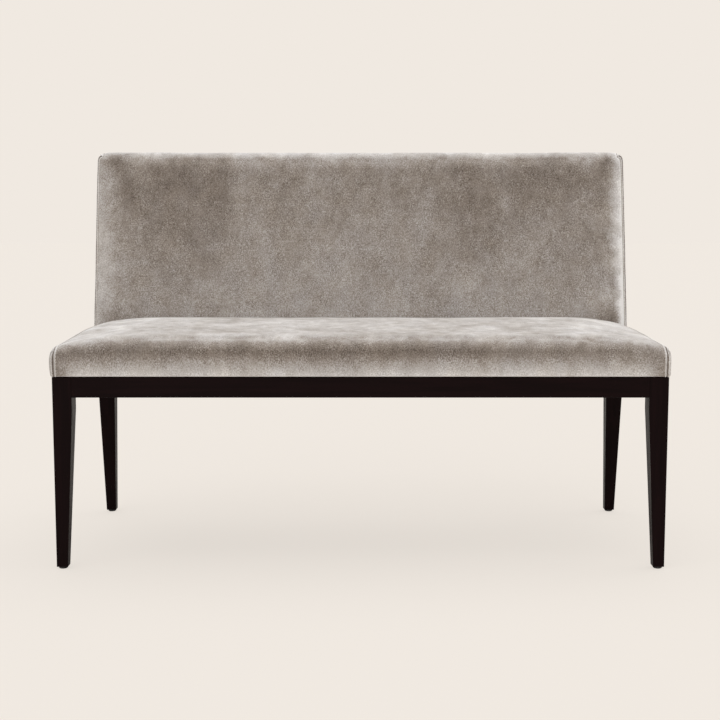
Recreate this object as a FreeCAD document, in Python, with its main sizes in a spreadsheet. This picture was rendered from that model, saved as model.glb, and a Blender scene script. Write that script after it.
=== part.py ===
import FreeCAD, Part
import os
import Sketcher

# An armless upholstered settee: a stained timber base, a webbed and padded seat panel screwed down on it,
# and a padded back built round the two rear posts. Millimetres; seen from the front, +X is to the right,
# +Y to the back and +Z up; the origin is on the floor under the middle of the whole.

SIZES = (
    # base
    ("frame_width", 1310, "outer face of one leg to the outer face of the other"),
    ("frame_depth", 501, "front faces of the legs to the rear faces of the posts, at the rails"),
    ("rail_top", 418, "floor to the top of the aprons"),
    ("apron_height", 45, "height of the four aprons"),
    ("apron_thickness", 22, "thickness of the four aprons"),
    ("leg_section", 41, "width of legs and posts, and depth of the front legs, at the rails"),
    ("foot_section", 24, "width and depth of legs and posts at the foot"),
    ("taper_drop", 28, "straight stretch of a leg below the apron, before its taper"),
    ("post_depth", 40, "depth of the rear posts at the rails"),
    ("rake_angle", 12, "lean of the rear posts below the rails, degrees"),
    ("edge_round", 1.5, "eased edges of the timber that shows"),
    ("glide_diameter", 20, "glide under each foot"),
    ("glide_height", 5, "glide under each foot"),
    ("glide_edge", 1.8, "rounded lower edge of a glide"),
    ("nail_diameter", 3, "nail of a glide"),
    ("nail_length", 18, "length of a glide's nail in the foot"),
    ("nail_cover", 2, "thickness of the glide below its nail"),
    ("cross_rail_spacing", 440, "centre to centre"),
    ("cross_rail_width", 24, "thickness of a cross rail"),
    ("cross_rail_height", 38, "height of a cross rail"),
    ("block_reach", 72, "corner block, along each apron"),
    ("block_height", 28, "corner block"),
    ("block_tip", 9, "blunt ends of a corner block"),
    ("block_clearance", 0.3, "corner block to the leg in its notch"),
    ("block_screw_place", 44.6, "screw into an apron, along it from the corner"),
    # dowels and screws
    ("dowel_diameter", 8, "all dowels"),
    ("dowel_depth", 20, "dowel in each of the two pieces that it joins"),
    ("cross_dowel_depth", 13, "dowel of a cross rail or a back strut, in each piece"),
    ("bore_clearance", 0.1, "round a dowel, screw or nail, and beyond its end"),
    ("screw_diameter", 4.5, "shank"),
    ("screw_head_diameter", 9, "head"),
    ("screw_head_height", 3, "head"),
    ("screw_grip", 12, "timber under a screw's head"),
    ("screw_bite", 14, "screw in the piece that it holds"),
    ("hold_down_edge", 15, "seat screw of a front block to the inner edge of the seat's front rail"),
    ("hold_down_side", 13, "the same screw to the inner face of the leg"),
    # seat
    ("seat_overhang", 8, "seat beyond the front faces of the legs"),
    ("seat_side_overhang", 5, "seat beyond the outer faces of the legs"),
    ("seat_edge", 80, "height of the seat's front edge above the aprons"),
    ("seat_rise", 12, "rear of the seat above its front edge"),
    ("seat_crown", 6, "crown of the seat from front to rear"),
    ("seat_edge_radius", 20, "rounded edges of the seat"),
    ("seat_seam_inset", 6, "side seams inwards of the seat's widest point"),
    ("seat_back_gap", 0.5, "seat to back"),
    ("panel_rail_width", 60, "timber of the seat panel"),
    ("panel_rail_thickness", 20, "timber of the seat panel"),
    ("panel_strut_width", 40, "dropped strut of the seat panel"),
    ("panel_strut_drop", 8, "strut below the rails, so that the webbing can give"),
    ("webbing_width", 50, "strap"),
    ("webbing_thickness", 1.5, "strap"),
    ("webbing_gap", 0.2, "strap over strap"),
    ("webbing_landing", 32, "strap on the rail that it is fixed to"),
    ("weave_ramp", 11, "length over which a strap rises to pass over another"),
    ("hessian_thickness", 1, "cloth over the webbing"),
    ("wadding_thickness", 4, "wadding round the foam"),
    ("cover_thickness", 1.5, "velvet with its backing"),
    ("lip_width", 24, "cover turned in under the seat panel"),
    ("dust_cover_thickness", 1, "cloth under the seat panel"),
    # back
    ("recline_angle", 12, "lean of the back, degrees"),
    ("back_height", 503, "aprons to the top of the back, along its slope"),
    ("back_pad", 56, "all padding in front of the posts"),
    ("back_edge_radius", 22, "rounded front and top edges of the back"),
    ("back_post_depth", 34, "depth of the posts inside the back"),
    ("side_panel_thickness", 3, "velvet and thin wadding on the outer sides of the posts"),
    ("crest_drop", 3, "top of the posts below the start of the rounded top edge"),
    ("back_rail_thickness", 25, "rails and struts of the back frame"),
    ("crest_rail_height", 60, "top rail of the back frame"),
    ("bottom_rail_height", 55, "bottom rail of the back frame"),
    ("bottom_rail_rise", 15, "bottom rail above the aprons, along the slope"),
    ("back_strut_spacing", 440, "centre to centre"),
    ("back_strut_width", 40, "upright strut of the back frame"),
    ("board_thickness", 3, "stiff board behind the outside panel"),
)

# Places that follow from the sizes. Inside the back, "out" is measured square to its slope.
PLACES = (
    ("half_width", "dim.frame_width / 2"),
    ("leg_inner", "dim.frame_width / 2 - dim.leg_section"),
    ("apron_inner", "dim.frame_width / 2 - dim.apron_thickness"),
    ("rail_bottom", "dim.rail_top - dim.apron_height"),
    ("back_out", "dim.back_post_depth + dim.board_thickness + dim.cover_thickness"),
    ("back_reach", "dim.frame_depth - dim.post_depth + dim.back_height * sin(dim.recline_angle)"
                   " + pos.back_out * cos(dim.recline_angle)"),
    ("front", "(dim.seat_overhang - pos.back_reach) / 2"),
    ("rear", "pos.front + dim.frame_depth"),
    ("post_front", "pos.rear - dim.post_depth"),
    ("taper_top", "pos.rail_bottom - dim.taper_drop"),
    ("foot_rake", "(pos.rail_bottom - dim.glide_height) * tan(dim.rake_angle)"),
    ("rear_foot", "pos.post_front + pos.foot_rake"),
    ("cross_x", "dim.cross_rail_spacing / 2"),
    ("block_bottom", "dim.rail_top - dim.block_height"),
    # seat panel and its layers
    ("layers", "dim.cover_thickness + dim.wadding_thickness"),
    ("seat_half", "pos.half_width + dim.seat_side_overhang"),
    ("seat_front", "pos.front - dim.seat_overhang"),
    ("seat_rear", "pos.post_front - dim.back_pad / cos(dim.recline_angle) - dim.seat_back_gap"),
    ("panel_bottom", "dim.rail_top + dim.cover_thickness"),
    ("panel_top", "pos.panel_bottom + dim.panel_rail_thickness"),
    ("panel_half", "pos.seat_half - pos.layers"),
    ("panel_front", "pos.seat_front + pos.layers"),
    ("panel_rear", "pos.seat_rear - pos.layers / cos(dim.recline_angle)"),
    ("weave_height", "dim.webbing_thickness + dim.webbing_gap"),
    ("hessian_bottom", "pos.panel_top + dim.webbing_thickness + pos.weave_height"),
    ("foam_bottom", "pos.hessian_bottom + dim.hessian_thickness"),
    ("seam_x", "pos.seat_half - dim.seat_seam_inset"),
    # back frame and its layers
    ("back_half", "pos.half_width - dim.side_panel_thickness"),
    ("frame_crest", "dim.back_height - dim.back_edge_radius - dim.crest_drop"),
    ("crest_bottom", "pos.frame_crest - dim.crest_rail_height"),
    ("bottom_rail_top", "dim.bottom_rail_rise + dim.bottom_rail_height"),
    ("back_hessian_out", "dim.webbing_thickness + dim.hessian_thickness"),
    ("back_foam_out", "dim.back_pad - pos.layers"),
    ("board_out", "dim.back_post_depth + dim.board_thickness"),
)

CROSS_STRAPS = 11
LONG_STRAPS = 3
BACK_STRAPS = 9
SIDES = (("left", -1), ("right", 1))
# Heights of the dowels, as shares of the timber that they hold; at a leg the two pairs are staggered.
LOW_DOWELS = (0.2, 0.6)
HIGH_DOWELS = (0.4, 0.8)
CROSS_RAIL_DOWELS = (0.3, 0.7)
BACK_RAIL_DOWELS = (0.25, 0.75)
# An edge this close to a face lies on it.
ON_FACE = 0.01

# Turn of a cylinder from upright to each direction, and the direction itself.
WAYS = {
    "+x": ((0, 1, 0), 90, (1, 0, 0)),
    "-x": ((0, 1, 0), -90, (-1, 0, 0)),
    "+y": ((1, 0, 0), -90, (0, 1, 0)),
    "-y": ((1, 0, 0), 90, (0, -1, 0)),
    "+z": ((1, 0, 0), 0, (0, 0, 1)),
}

doc = FreeCAD.newDocument("settee")
sheet = doc.addObject("Spreadsheet::Sheet", "dim")
for row, (alias, value, note) in enumerate(SIZES, start=1):
    sheet.set(f"A{row}", alias)
    sheet.set(f"B{row}", str(value))
    sheet.setAlias(f"B{row}", alias)
    sheet.set(f"C{row}", note)
doc.recompute()

places = doc.addObject("App::VarSet", "pos")
for name, formula in PLACES:
    places.addProperty("App::PropertyFloat", name, "Places")
    places.setExpression(name, formula)
    doc.recompute()

nodes = []


def number(formula):
    return float(sheet.evalExpression(formula))


def node(piece, label):
    piece.Label = label
    nodes.append(piece)
    return piece


def sided(side, inner, outer):
    """Start and length, along +X, of what lies between two distances from the middle plane."""
    start = inner if side > 0 else f"-({outer})"
    return start, f"({outer}) - ({inner})"


# Sketches and features

def origin_feature(body, role):
    return next(part for part in body.Origin.OriginFeatures if part.Role == role)


def new_sketch(body, plane, offset="0"):
    sketch = body.newObject("Sketcher::SketchObject", body.Name + "_outline")
    sketch.AttachmentSupport = [(origin_feature(body, plane), "")]
    sketch.MapMode = "FlatFace"
    sketch.setExpression("AttachmentOffset.Base.z", offset)
    return sketch


def outline(body, plane, corners, offset="0", crowns=None):
    """Closed sketch through corners given as formulas; crowns maps an edge to the rise of its arc."""
    crowns = crowns or {}
    sketch = new_sketch(body, plane, offset)
    spots = [FreeCAD.Vector(number(across), number(up), 0) for across, up in corners]
    count = len(corners)
    ends = []
    edges = []
    for here in range(count):
        start, end = spots[here], spots[(here + 1) % count]
        if here in crowns:
            along = (end - start).normalize()
            outwards = FreeCAD.Vector(-along.y, along.x, 0)
            top = (start + end) * 0.5 + outwards * number(crowns[here])
            edges.append(Part.Arc(start, top, end))
            ends.append((2, 1))
        else:
            edges.append(Part.LineSegment(start, end))
            ends.append((1, 2))
    sketch.addGeometry(edges, False)
    rules = []
    formulas = []
    for here in range(count):
        after = (here + 1) % count
        rules.append(Sketcher.Constraint("Coincident", here, ends[here][1], after, ends[after][0]))
        formulas.append(None)
    for here, (across, up) in enumerate(corners):
        rules.append(Sketcher.Constraint("DistanceX", here, ends[here][0], spots[here].x))
        formulas.append(across)
        rules.append(Sketcher.Constraint("DistanceY", here, ends[here][0], spots[here].y))
        formulas.append(up)
    for here, rise in crowns.items():
        (from_y, from_z), (to_y, to_z) = corners[here], corners[(here + 1) % count]
        chord = f"(({to_y}) - ({from_y})) ^ 2 + (({to_z}) - ({from_z})) ^ 2"
        radius = f"(({chord}) / 4 + ({rise}) ^ 2) / (2 * ({rise}))"
        rules.append(Sketcher.Constraint("Radius", here, number(radius)))
        formulas.append(radius)
    sketch.addConstraint(rules)
    for index, formula in enumerate(formulas):
        if formula is not None:
            sketch.setExpression(f"Constraints[{index}]", formula)
    return sketch


def pad(body, sketch, length, symmetric=False):
    feature = body.newObject("PartDesign::Pad", body.Name + "_pad")
    feature.Profile = sketch
    feature.setExpression("Length", length)
    feature.SideType = "Symmetric" if symmetric else "One side"
    return feature


def prism(name, plane, corners, length, offset="0", symmetric=False, crowns=None):
    body = doc.addObject("PartDesign::Body", name)
    pad(body, outline(body, plane, corners, offset, crowns), length, symmetric)
    return body


def rectangle(low_across, high_across, low_up, high_up):
    return [(low_across, low_up), (high_across, low_up), (high_across, high_up), (low_across, high_up)]


def round_edges(body, radius, wanted):
    """Fillet the edges of a body's last feature that wanted() picks."""
    doc.recompute()
    base = body.Tip
    picked = [f"Edge{index}" for index, edge in enumerate(base.Shape.Edges, start=1) if wanted(edge)]
    feature = body.newObject("PartDesign::Fillet", body.Name + "_round")
    feature.Base = (base, picked)
    feature.setExpression("Radius", radius)
    return feature


def runs_along(edge, axis):
    """Whether an edge runs more along one axis (0, 1 or 2) than along the others."""
    span = edge.Vertexes[-1].Point - edge.Vertexes[0].Point
    return abs(span[axis]) == max(abs(part) for part in span)


def cut(label, base, tool):
    piece = doc.addObject("Part::Cut", label)
    piece.Base = base
    piece.Tool = tool
    return piece


def common(label, base, tool):
    piece = doc.addObject("Part::Common", label)
    piece.Base = base
    piece.Tool = tool
    return piece


def group(label, members):
    piece = doc.addObject("Part::Compound", label)
    piece.Links = members
    return piece


# Dowels and screws

def rod(name, start, way, length, diameter, ahead="0"):
    """Cylinder from a point, moved ahead along its own direction."""
    axis, angle, direction = WAYS[way]
    piece = doc.addObject("Part::Cylinder", name)
    piece.Placement = FreeCAD.Placement(FreeCAD.Vector(), FreeCAD.Rotation(FreeCAD.Vector(*axis), angle))
    piece.setExpression("Radius", f"({diameter}) / 2")
    piece.setExpression("Height", length)
    for letter, place, part in zip("xyz", start, direction):
        piece.setExpression(f"Placement.Base.{letter}", f"({place}) + {part} * ({ahead})")
    return piece


def reclined(along, out):
    """Depth and height of a point of the back, from its slope and its distance behind the posts' fronts."""
    depth = f"pos.post_front + ({along}) * sin(dim.recline_angle) + ({out}) * cos(dim.recline_angle)"
    height = f"dim.rail_top + ({along}) * cos(dim.recline_angle) - ({out}) * sin(dim.recline_angle)"
    return depth, height


def reclined_foot(out, lift="0"):
    """The same, where a face of the back comes down to the aprons, or to a lift above them."""
    depth = f"pos.post_front + ({out}) / cos(dim.recline_angle) + ({lift}) * tan(dim.recline_angle)"
    return depth, f"dim.rail_top + ({lift})"


def dowel(middle, way, depth, pegs, bores, recline=False):
    """Dowel centred on a joint, and the bore for it."""
    bore_depth = f"{depth} + dim.bore_clearance"
    peg = rod("dowel", middle, way, f"2 * {depth}", "dim.dowel_diameter", f"-({depth})")
    bore_size = "dim.dowel_diameter + 2 * dim.bore_clearance"
    bore = rod("dowel_bore", middle, way, f"2 * ({bore_depth})", bore_size, f"-({bore_depth})")
    if recline:
        for piece, reach in ((peg, depth), (bore, bore_depth)):
            piece.Placement.Rotation = FreeCAD.Rotation(FreeCAD.Vector(-1, 0, 0), 1)
            piece.setExpression("Placement.Rotation.Angle", "dim.recline_angle")
            piece.setExpression("Placement.Base.y", f"({middle[1]}) - ({reach}) * sin(dim.recline_angle)")
            piece.setExpression("Placement.Base.z", f"({middle[2]}) - ({reach}) * cos(dim.recline_angle)")
    pegs.append(peg)
    bores.append(bore)


def screw(seat, way, grip, sunk, screws, bores):
    """Screw whose head sits at a point, and its bore with a counterbore of a given depth behind."""
    reach = f"{grip} + dim.screw_bite"
    shank = rod("shank", seat, way, reach, "dim.screw_diameter")
    head_back = "-dim.screw_head_height"
    head = rod("head", seat, way, "dim.screw_head_height", "dim.screw_head_diameter", head_back)
    whole = doc.addObject("Part::Fuse", "screw")
    whole.Base = shank
    whole.Tool = head
    screws.append(whole)
    bore_size = "dim.screw_diameter + 2 * dim.bore_clearance"
    hole = rod("screw_bore", seat, way, f"{reach} + dim.bore_clearance", bore_size)
    well_size = "dim.screw_head_diameter + 2 * dim.bore_clearance"
    well = rod("counterbore", seat, way, sunk, well_size, f"-({sunk})")
    both = doc.addObject("Part::Fuse", "screw_hole")
    both.Base = hole
    both.Tool = well
    bores.append(both)


base_pegs, base_bores = [], []
back_pegs, back_bores = [], []
block_screws, block_bores = [], []
seat_screws, seat_bores = [], []
nails, nail_bores = [], []

apron_mid_front = "pos.front + dim.apron_thickness / 2"
apron_mid_rear = "pos.rear - dim.apron_thickness / 2"

for side_name, side in SIDES:
    joint_x = f"{side} * pos.leg_inner"
    for share in LOW_DOWELS:
        height = f"pos.rail_bottom + {share} * dim.apron_height"
        dowel((joint_x, apron_mid_front, height), "+x", "dim.dowel_depth", base_pegs, base_bores)
        dowel((joint_x, apron_mid_rear, height), "+x", "dim.dowel_depth", base_pegs, base_bores)
    for share in HIGH_DOWELS:
        height = f"pos.rail_bottom + {share} * dim.apron_height"
        side_x = f"{side} * (pos.half_width - dim.apron_thickness / 2)"
        for joint_y in ("pos.front + dim.leg_section", "pos.post_front"):
            dowel((side_x, joint_y, height), "+y", "dim.dowel_depth", base_pegs, base_bores)
    for share in CROSS_RAIL_DOWELS:
        height = f"dim.rail_top - {share} * dim.cross_rail_height"
        for joint_y in ("pos.front + dim.apron_thickness", "pos.rear - dim.apron_thickness"):
            where = (f"{side} * pos.cross_x", joint_y, height)
            dowel(where, "+y", "dim.cross_dowel_depth", base_pegs, base_bores)
    for low, tall in (("dim.bottom_rail_rise", "dim.bottom_rail_height"),
                      ("pos.crest_bottom", "dim.crest_rail_height")):
        for share in BACK_RAIL_DOWELS:
            spot = reclined(f"{low} + {share} * {tall}", "dim.back_rail_thickness / 2")
            dowel((joint_x, *spot), "+x", "dim.dowel_depth", back_pegs, back_bores)
    for along in ("pos.bottom_rail_top", "pos.crest_bottom"):
        spot = reclined(along, "dim.back_rail_thickness / 2")
        where = (f"{side} * dim.back_strut_spacing / 2", *spot)
        dowel(where, "+z", "dim.cross_dowel_depth", back_pegs, back_bores, recline=True)

    # Corner blocks: one screw into each apron; the front blocks also hold the seat panel down.
    block_middle = "pos.block_bottom + dim.block_height / 2"
    sunk = "dim.block_reach - dim.screw_grip"
    into_side = "+x" if side > 0 else "-x"
    for apron_y, inwards, into_apron in (("pos.front + dim.apron_thickness", 1, "-y"),
                                         ("pos.rear - dim.apron_thickness", -1, "+y")):
        along_x = f"{side} * (pos.apron_inner - dim.block_screw_place)"
        seat_y = f"{apron_y} + {inwards} * dim.screw_grip"
        where = (along_x, seat_y, block_middle)
        screw(where, into_apron, "dim.screw_grip", sunk, block_screws, block_bores)
        along_y = f"{apron_y} + {inwards} * dim.block_screw_place"
        seat_x = f"{side} * (pos.apron_inner - dim.screw_grip)"
        where = (seat_x, along_y, block_middle)
        screw(where, into_side, "dim.screw_grip", sunk, block_screws, block_bores)
    seat_grip = "(dim.screw_grip + dim.cover_thickness)"
    head_height = "dim.rail_top - dim.screw_grip"
    held_x = f"{side} * (pos.leg_inner - dim.hold_down_side)"
    held_y = "pos.panel_front + dim.panel_rail_width - dim.hold_down_edge"
    where = (held_x, held_y, head_height)
    screw(where, "+z", seat_grip, "dim.block_height", seat_screws, seat_bores)
    where = (f"{side} * pos.cross_x", "pos.panel_rear - dim.panel_rail_width / 2", head_height)
    screw(where, "+z", seat_grip, "dim.cross_rail_height", seat_screws, seat_bores)

    for foot_y in ("pos.front", "pos.rear_foot"):
        nail_x = f"{side} * (pos.half_width - dim.foot_section / 2)"
        nail_y = f"{foot_y} + dim.foot_section / 2"
        inside = "dim.glide_height - dim.nail_cover"
        nail_start = (nail_x, nail_y, "dim.nail_cover")
        nails.append(rod("nail", nail_start, "+z", f"{inside} + dim.nail_length", "dim.nail_diameter"))
        bore_length = f"{inside} + dim.nail_length + dim.bore_clearance"
        bore_size = "dim.nail_diameter + 2 * dim.bore_clearance"
        nail_bores.append(rod("nail_bore", nail_start, "+z", bore_length, bore_size))

base_holes = group("base_holes", base_bores + block_bores + nail_bores)
back_holes = group("back_holes", back_bores)
seat_holes = group("seat_holes", seat_bores)
post_holes = group("post_holes", base_bores + back_bores + nail_bores)
node(group("base_dowels", base_pegs), "base_dowels")
node(group("back_dowels", back_pegs), "back_dowels")
node(group("corner_block_screws", block_screws), "corner_block_screws")
node(group("seat_screws", seat_screws), "seat_screws")
node(group("glide_nails", nails), "glide_nails")


# Base

def taper_inner_face(body, side):
    """Take the taper off the inner face of a leg, from below the apron to the foot."""
    inner = f"{side} * pos.leg_inner"
    foot_inner = f"{side} * (pos.half_width - dim.foot_section)"
    corners = [(inner, "pos.taper_top"), (inner, "dim.glide_height"), (foot_inner, "dim.glide_height")]
    pocket = body.newObject("PartDesign::Pocket", body.Name + "_taper")
    pocket.Profile = outline(body, "XZ_Plane", corners)
    pocket.Type = "ThroughAll"
    pocket.SideType = "Symmetric"


def ease_timber(body, axis, left_sharp=lambda place: False):
    """Ease the long edges of a timber, apart from those that left_sharp() names."""
    shortest = number("dim.taper_drop")

    def wanted(edge):
        return runs_along(edge, axis) and edge.Length > shortest and not left_sharp(edge.CenterOfMass)

    round_edges(body, "dim.edge_round", wanted)


for side_name, side in SIDES:
    start, length = sided(side, "pos.leg_inner", "pos.half_width")

    leg_side = [
        ("pos.front", "dim.glide_height"),
        ("pos.front + dim.foot_section", "dim.glide_height"),
        ("pos.front + dim.leg_section", "pos.taper_top"),
        ("pos.front + dim.leg_section", "dim.rail_top"),
        ("pos.front", "dim.rail_top"),
    ]
    leg = prism(f"front_leg_{side_name}_blank", "YZ_Plane", leg_side, length, start)
    taper_inner_face(leg, side)
    behind = number("pos.front + dim.foot_section / 2")
    inside = number("pos.half_width - dim.foot_section / 2")
    ease_timber(leg, 2, lambda place: place.y > behind and abs(place.x) < inside)
    node(cut(f"front_leg_{side_name}", leg, base_holes), f"front_leg_{side_name}")

    # Rear post: the raked foot and the upright stretch at the rails, then the reclined stretch.
    post_side = [
        ("pos.rear_foot", "dim.glide_height"),
        ("pos.rear_foot + dim.foot_section", "dim.glide_height"),
        ("pos.rear", "pos.rail_bottom"),
        ("pos.rear", "dim.rail_top"),
        ("pos.post_front", "dim.rail_top"),
        ("pos.post_front", "pos.rail_bottom"),
    ]
    post = prism(f"rear_post_{side_name}_blank", "YZ_Plane", post_side, length, start)
    taper_inner_face(post, side)
    ease_timber(post, 2)
    upper_side = [
        reclined_foot("0"),
        reclined_foot("dim.back_post_depth"),
        reclined("pos.frame_crest", "dim.back_post_depth"),
        reclined("pos.frame_crest", "0"),
    ]
    upper_start, upper_length = sided(side, "pos.leg_inner", "pos.back_half")
    pad(post, outline(post, "YZ_Plane", upper_side, upper_start), upper_length)
    node(cut(f"rear_post_{side_name}", post, post_holes), f"rear_post_{side_name}")

    apron_start, apron_length = sided(side, "pos.apron_inner", "pos.half_width")
    side_rail = rectangle("pos.front + dim.leg_section", "pos.post_front", "pos.rail_bottom", "dim.rail_top")
    side_apron = prism(f"side_apron_{side_name}_blank", "YZ_Plane", side_rail, apron_length, apron_start)
    ease_timber(side_apron, 1)
    node(cut(f"side_apron_{side_name}", side_apron, base_holes), f"side_apron_{side_name}")

    rail_side = rectangle("pos.front + dim.apron_thickness", "pos.rear - dim.apron_thickness",
                          "dim.rail_top - dim.cross_rail_height", "dim.rail_top")
    rail_start = f"{side} * pos.cross_x - dim.cross_rail_width / 2"
    label = f"cross_rail_{side_name}"
    cross_rail = prism(f"{label}_blank", "YZ_Plane", rail_side, "dim.cross_rail_width", rail_start)
    bored_rail = cut(f"{label}_bored", cross_rail, base_holes)
    node(cut(label, bored_rail, seat_holes), label)

for end_name, low_y, high_y in (("front", "pos.front", "pos.front + dim.apron_thickness"),
                                ("rear", "pos.rear - dim.apron_thickness", "pos.rear")):
    rail_side = rectangle(low_y, high_y, "pos.rail_bottom", "dim.rail_top")
    apron = prism(f"{end_name}_apron_blank", "YZ_Plane", rail_side, "2 * pos.leg_inner", symmetric=True)
    ease_timber(apron, 0)
    node(cut(f"{end_name}_apron", apron, base_holes), f"{end_name}_apron")

# Corner blocks, notched round the legs.
for end_name, apron_y, inwards, leg_depth in (
        ("front", "pos.front + dim.apron_thickness", 1, "dim.leg_section"),
        ("rear", "pos.rear - dim.apron_thickness", -1, "dim.post_depth")):
    for side_name, side in SIDES:
        notch_x = "dim.leg_section - dim.apron_thickness + dim.block_clearance"
        notch_y = f"{leg_depth} - dim.apron_thickness + dim.block_clearance"
        shape = [
            (notch_x, "0"),
            ("dim.block_reach", "0"),
            ("dim.block_reach", "dim.block_tip"),
            ("dim.block_tip", "dim.block_reach"),
            ("0", "dim.block_reach"),
            ("0", notch_y),
            (notch_x, notch_y),
        ]
        corners = [(f"{side} * (pos.apron_inner - ({across}))", f"{apron_y} + {inwards} * ({deep})")
                   for across, deep in shape]
        name = f"corner_block_{end_name}_{side_name}"
        block = prism(f"{name}_blank", "XY_Plane", corners, "dim.block_height", "pos.block_bottom")
        bored = cut(f"{name}_bored", block, base_holes)
        node(cut(name, bored, seat_holes), name)

# Glides: flat below, with a rounded lower edge.
for end_name, foot_y in (("front", "pos.front"), ("rear", "pos.rear_foot")):
    for side_name, side in SIDES:
        name = f"glide_{end_name}_{side_name}"
        body = doc.addObject("PartDesign::Body", f"{name}_blank")
        half = [
            ("0", "0"),
            ("dim.glide_diameter / 2 - dim.glide_edge", "0"),
            ("dim.glide_diameter / 2", "dim.glide_edge"),
            ("dim.glide_diameter / 2", "dim.glide_height"),
            ("0", "dim.glide_height"),
        ]
        turned = body.newObject("PartDesign::Revolution", f"{name}_turned")
        turned.Profile = outline(body, "XZ_Plane", half)
        turned.ReferenceAxis = (origin_feature(body, "Z_Axis"), [""])
        turned.Angle = 360
        body.setExpression("Placement.Base.x", f"{side} * (pos.half_width - dim.foot_section / 2)")
        body.setExpression("Placement.Base.y", f"{foot_y} + dim.foot_section / 2")
        node(cut(name, body, base_holes), name)


# Seat panel

def seat_form(name, inset, bottom):
    """Rounded, crowned block of the seat, drawn in by an inset on every side but the bottom."""
    edge_height = f"(dim.seat_edge - ({inset}))"
    rear_height = f"(dim.seat_edge + dim.seat_rise - ({inset}))"
    rear_at_rails = f"pos.seat_rear - ({inset}) / cos(dim.recline_angle)"
    corners = [
        (f"{rear_at_rails} + (({bottom}) - dim.rail_top) * tan(dim.recline_angle)", bottom),
        (f"pos.seat_front + ({inset})", bottom),
        (f"pos.seat_front + ({inset})", f"dim.rail_top + {edge_height}"),
        (f"{rear_at_rails} + {rear_height} * tan(dim.recline_angle)", f"dim.rail_top + {rear_height}"),
    ]
    width = f"2 * (pos.seat_half - ({inset}))"
    body = prism(name, "YZ_Plane", corners, width, symmetric=True, crowns={2: "dim.seat_crown"})

    def above_and_in_front(edge):
        place = edge.CenterOfMass
        lean = (place.z - number("dim.rail_top")) * number("tan(dim.recline_angle)")
        rear_face = number(rear_at_rails) + lean
        return place.z > number(bottom) + ON_FACE and place.y < rear_face - ON_FACE

    round_edges(body, f"dim.seat_edge_radius - ({inset})", above_and_in_front)
    return body


def end_slab(name, side, inner):
    """Space beyond a seam, on one side."""
    start, length = sided(side, inner, "pos.seat_half + dim.seat_side_overhang")
    beyond = rectangle("pos.seat_front - dim.seat_overhang", "pos.rear + dim.back_height",
                       "pos.rail_bottom", "dim.rail_top + dim.back_height")
    return prism(name, "YZ_Plane", beyond, length, start)


def round_front_corners(body):
    """Round the two front corners of a flat piece of the seat panel as the foam is rounded."""
    front_face = number("pos.panel_front") + ON_FACE
    round_edges(body, "dim.seat_edge_radius - pos.layers",
                lambda edge: runs_along(edge, 2) and edge.CenterOfMass.y < front_face)


seat_rails = (
    ("front_rail", "-pos.panel_half", "pos.panel_half",
     "pos.panel_front", "pos.panel_front + dim.panel_rail_width"),
    ("rear_rail", "-pos.panel_half", "pos.panel_half",
     "pos.panel_rear - dim.panel_rail_width", "pos.panel_rear"),
)
for rail_name, low_x, high_x, low_y, high_y in seat_rails:
    label = f"seat_frame_{rail_name}"
    plan = rectangle(low_x, high_x, low_y, high_y)
    rail = prism(f"{label}_blank", "XY_Plane", plan, "dim.panel_rail_thickness", "pos.panel_bottom")
    if rail_name == "front_rail":
        round_front_corners(rail)
    node(cut(label, rail, seat_holes), label)

between = ("pos.panel_front + dim.panel_rail_width", "pos.panel_rear - dim.panel_rail_width")
for side_name, side in SIDES:
    start, length = sided(side, "pos.panel_half - dim.panel_rail_width", "pos.panel_half")
    end_plan = rectangle(start, f"{start} + {length}", *between)
    label = f"seat_frame_end_{side_name}"
    end_rail = prism(f"{label}_blank", "XY_Plane", end_plan, "dim.panel_rail_thickness", "pos.panel_bottom")
    node(end_rail, label)
    strut_low = f"{side} * pos.cross_x - dim.panel_strut_width / 2"
    strut_plan = rectangle(strut_low, f"{strut_low} + dim.panel_strut_width", *between)
    strut_height = "dim.panel_rail_thickness - dim.panel_strut_drop"
    strut = prism(f"seat_strut_{side_name}", "XY_Plane", strut_plan, strut_height, "pos.panel_bottom")
    node(strut, f"seat_frame_strut_{side_name}")

# Webbing, woven: each strap runs flat on the rails and humps over every other strap that it meets.
opening_x = "2 * (pos.panel_half - dim.panel_rail_width)"
opening_y = f"({between[1]} - ({between[0]}))"
cross_pitch = f"({opening_x} / {CROSS_STRAPS})"
long_pitch = f"({opening_y} / {LONG_STRAPS})"
cross_start = f"(pos.panel_half - dim.panel_rail_width - {cross_pitch} / 2)"
long_start = f"({between[0]} + {long_pitch} / 2)"


def woven_strap(body, plane, ends, crossings, offset):
    """Side view of one strap, padded to its width, centred on its offset."""
    low = "pos.panel_top"
    high = "pos.panel_top + pos.weave_height"
    flat = "dim.webbing_width / 2 + dim.webbing_gap"
    path = [(ends[0], low)]
    for middle in crossings:
        path.append((f"{middle} - ({flat} + dim.weave_ramp)", low))
        path.append((f"{middle} - ({flat})", high))
        path.append((f"{middle} + {flat}", high))
        path.append((f"{middle} + ({flat} + dim.weave_ramp)", low))
    path.append((ends[1], low))
    upper = [(along, f"{height} + dim.webbing_thickness") for along, height in reversed(path)]
    return pad(body, outline(body, plane, path + upper, offset), "dim.webbing_width", symmetric=True)


def repeat(body, strap, axis, copies, spacing):
    doc.recompute()
    pattern = body.newObject("PartDesign::LinearPattern", body.Name + "_repeat")
    pattern.Originals = [strap]
    pattern.Direction = (origin_feature(body, axis), [""])
    pattern.Occurrences = copies
    pattern.setExpression("Length", f"{spacing} * {copies - 1}")
    body.Tip = pattern


def straps(total, first):
    """How many of every second strap there are, from a first one."""
    return len(range(first, total, 2))


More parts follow.
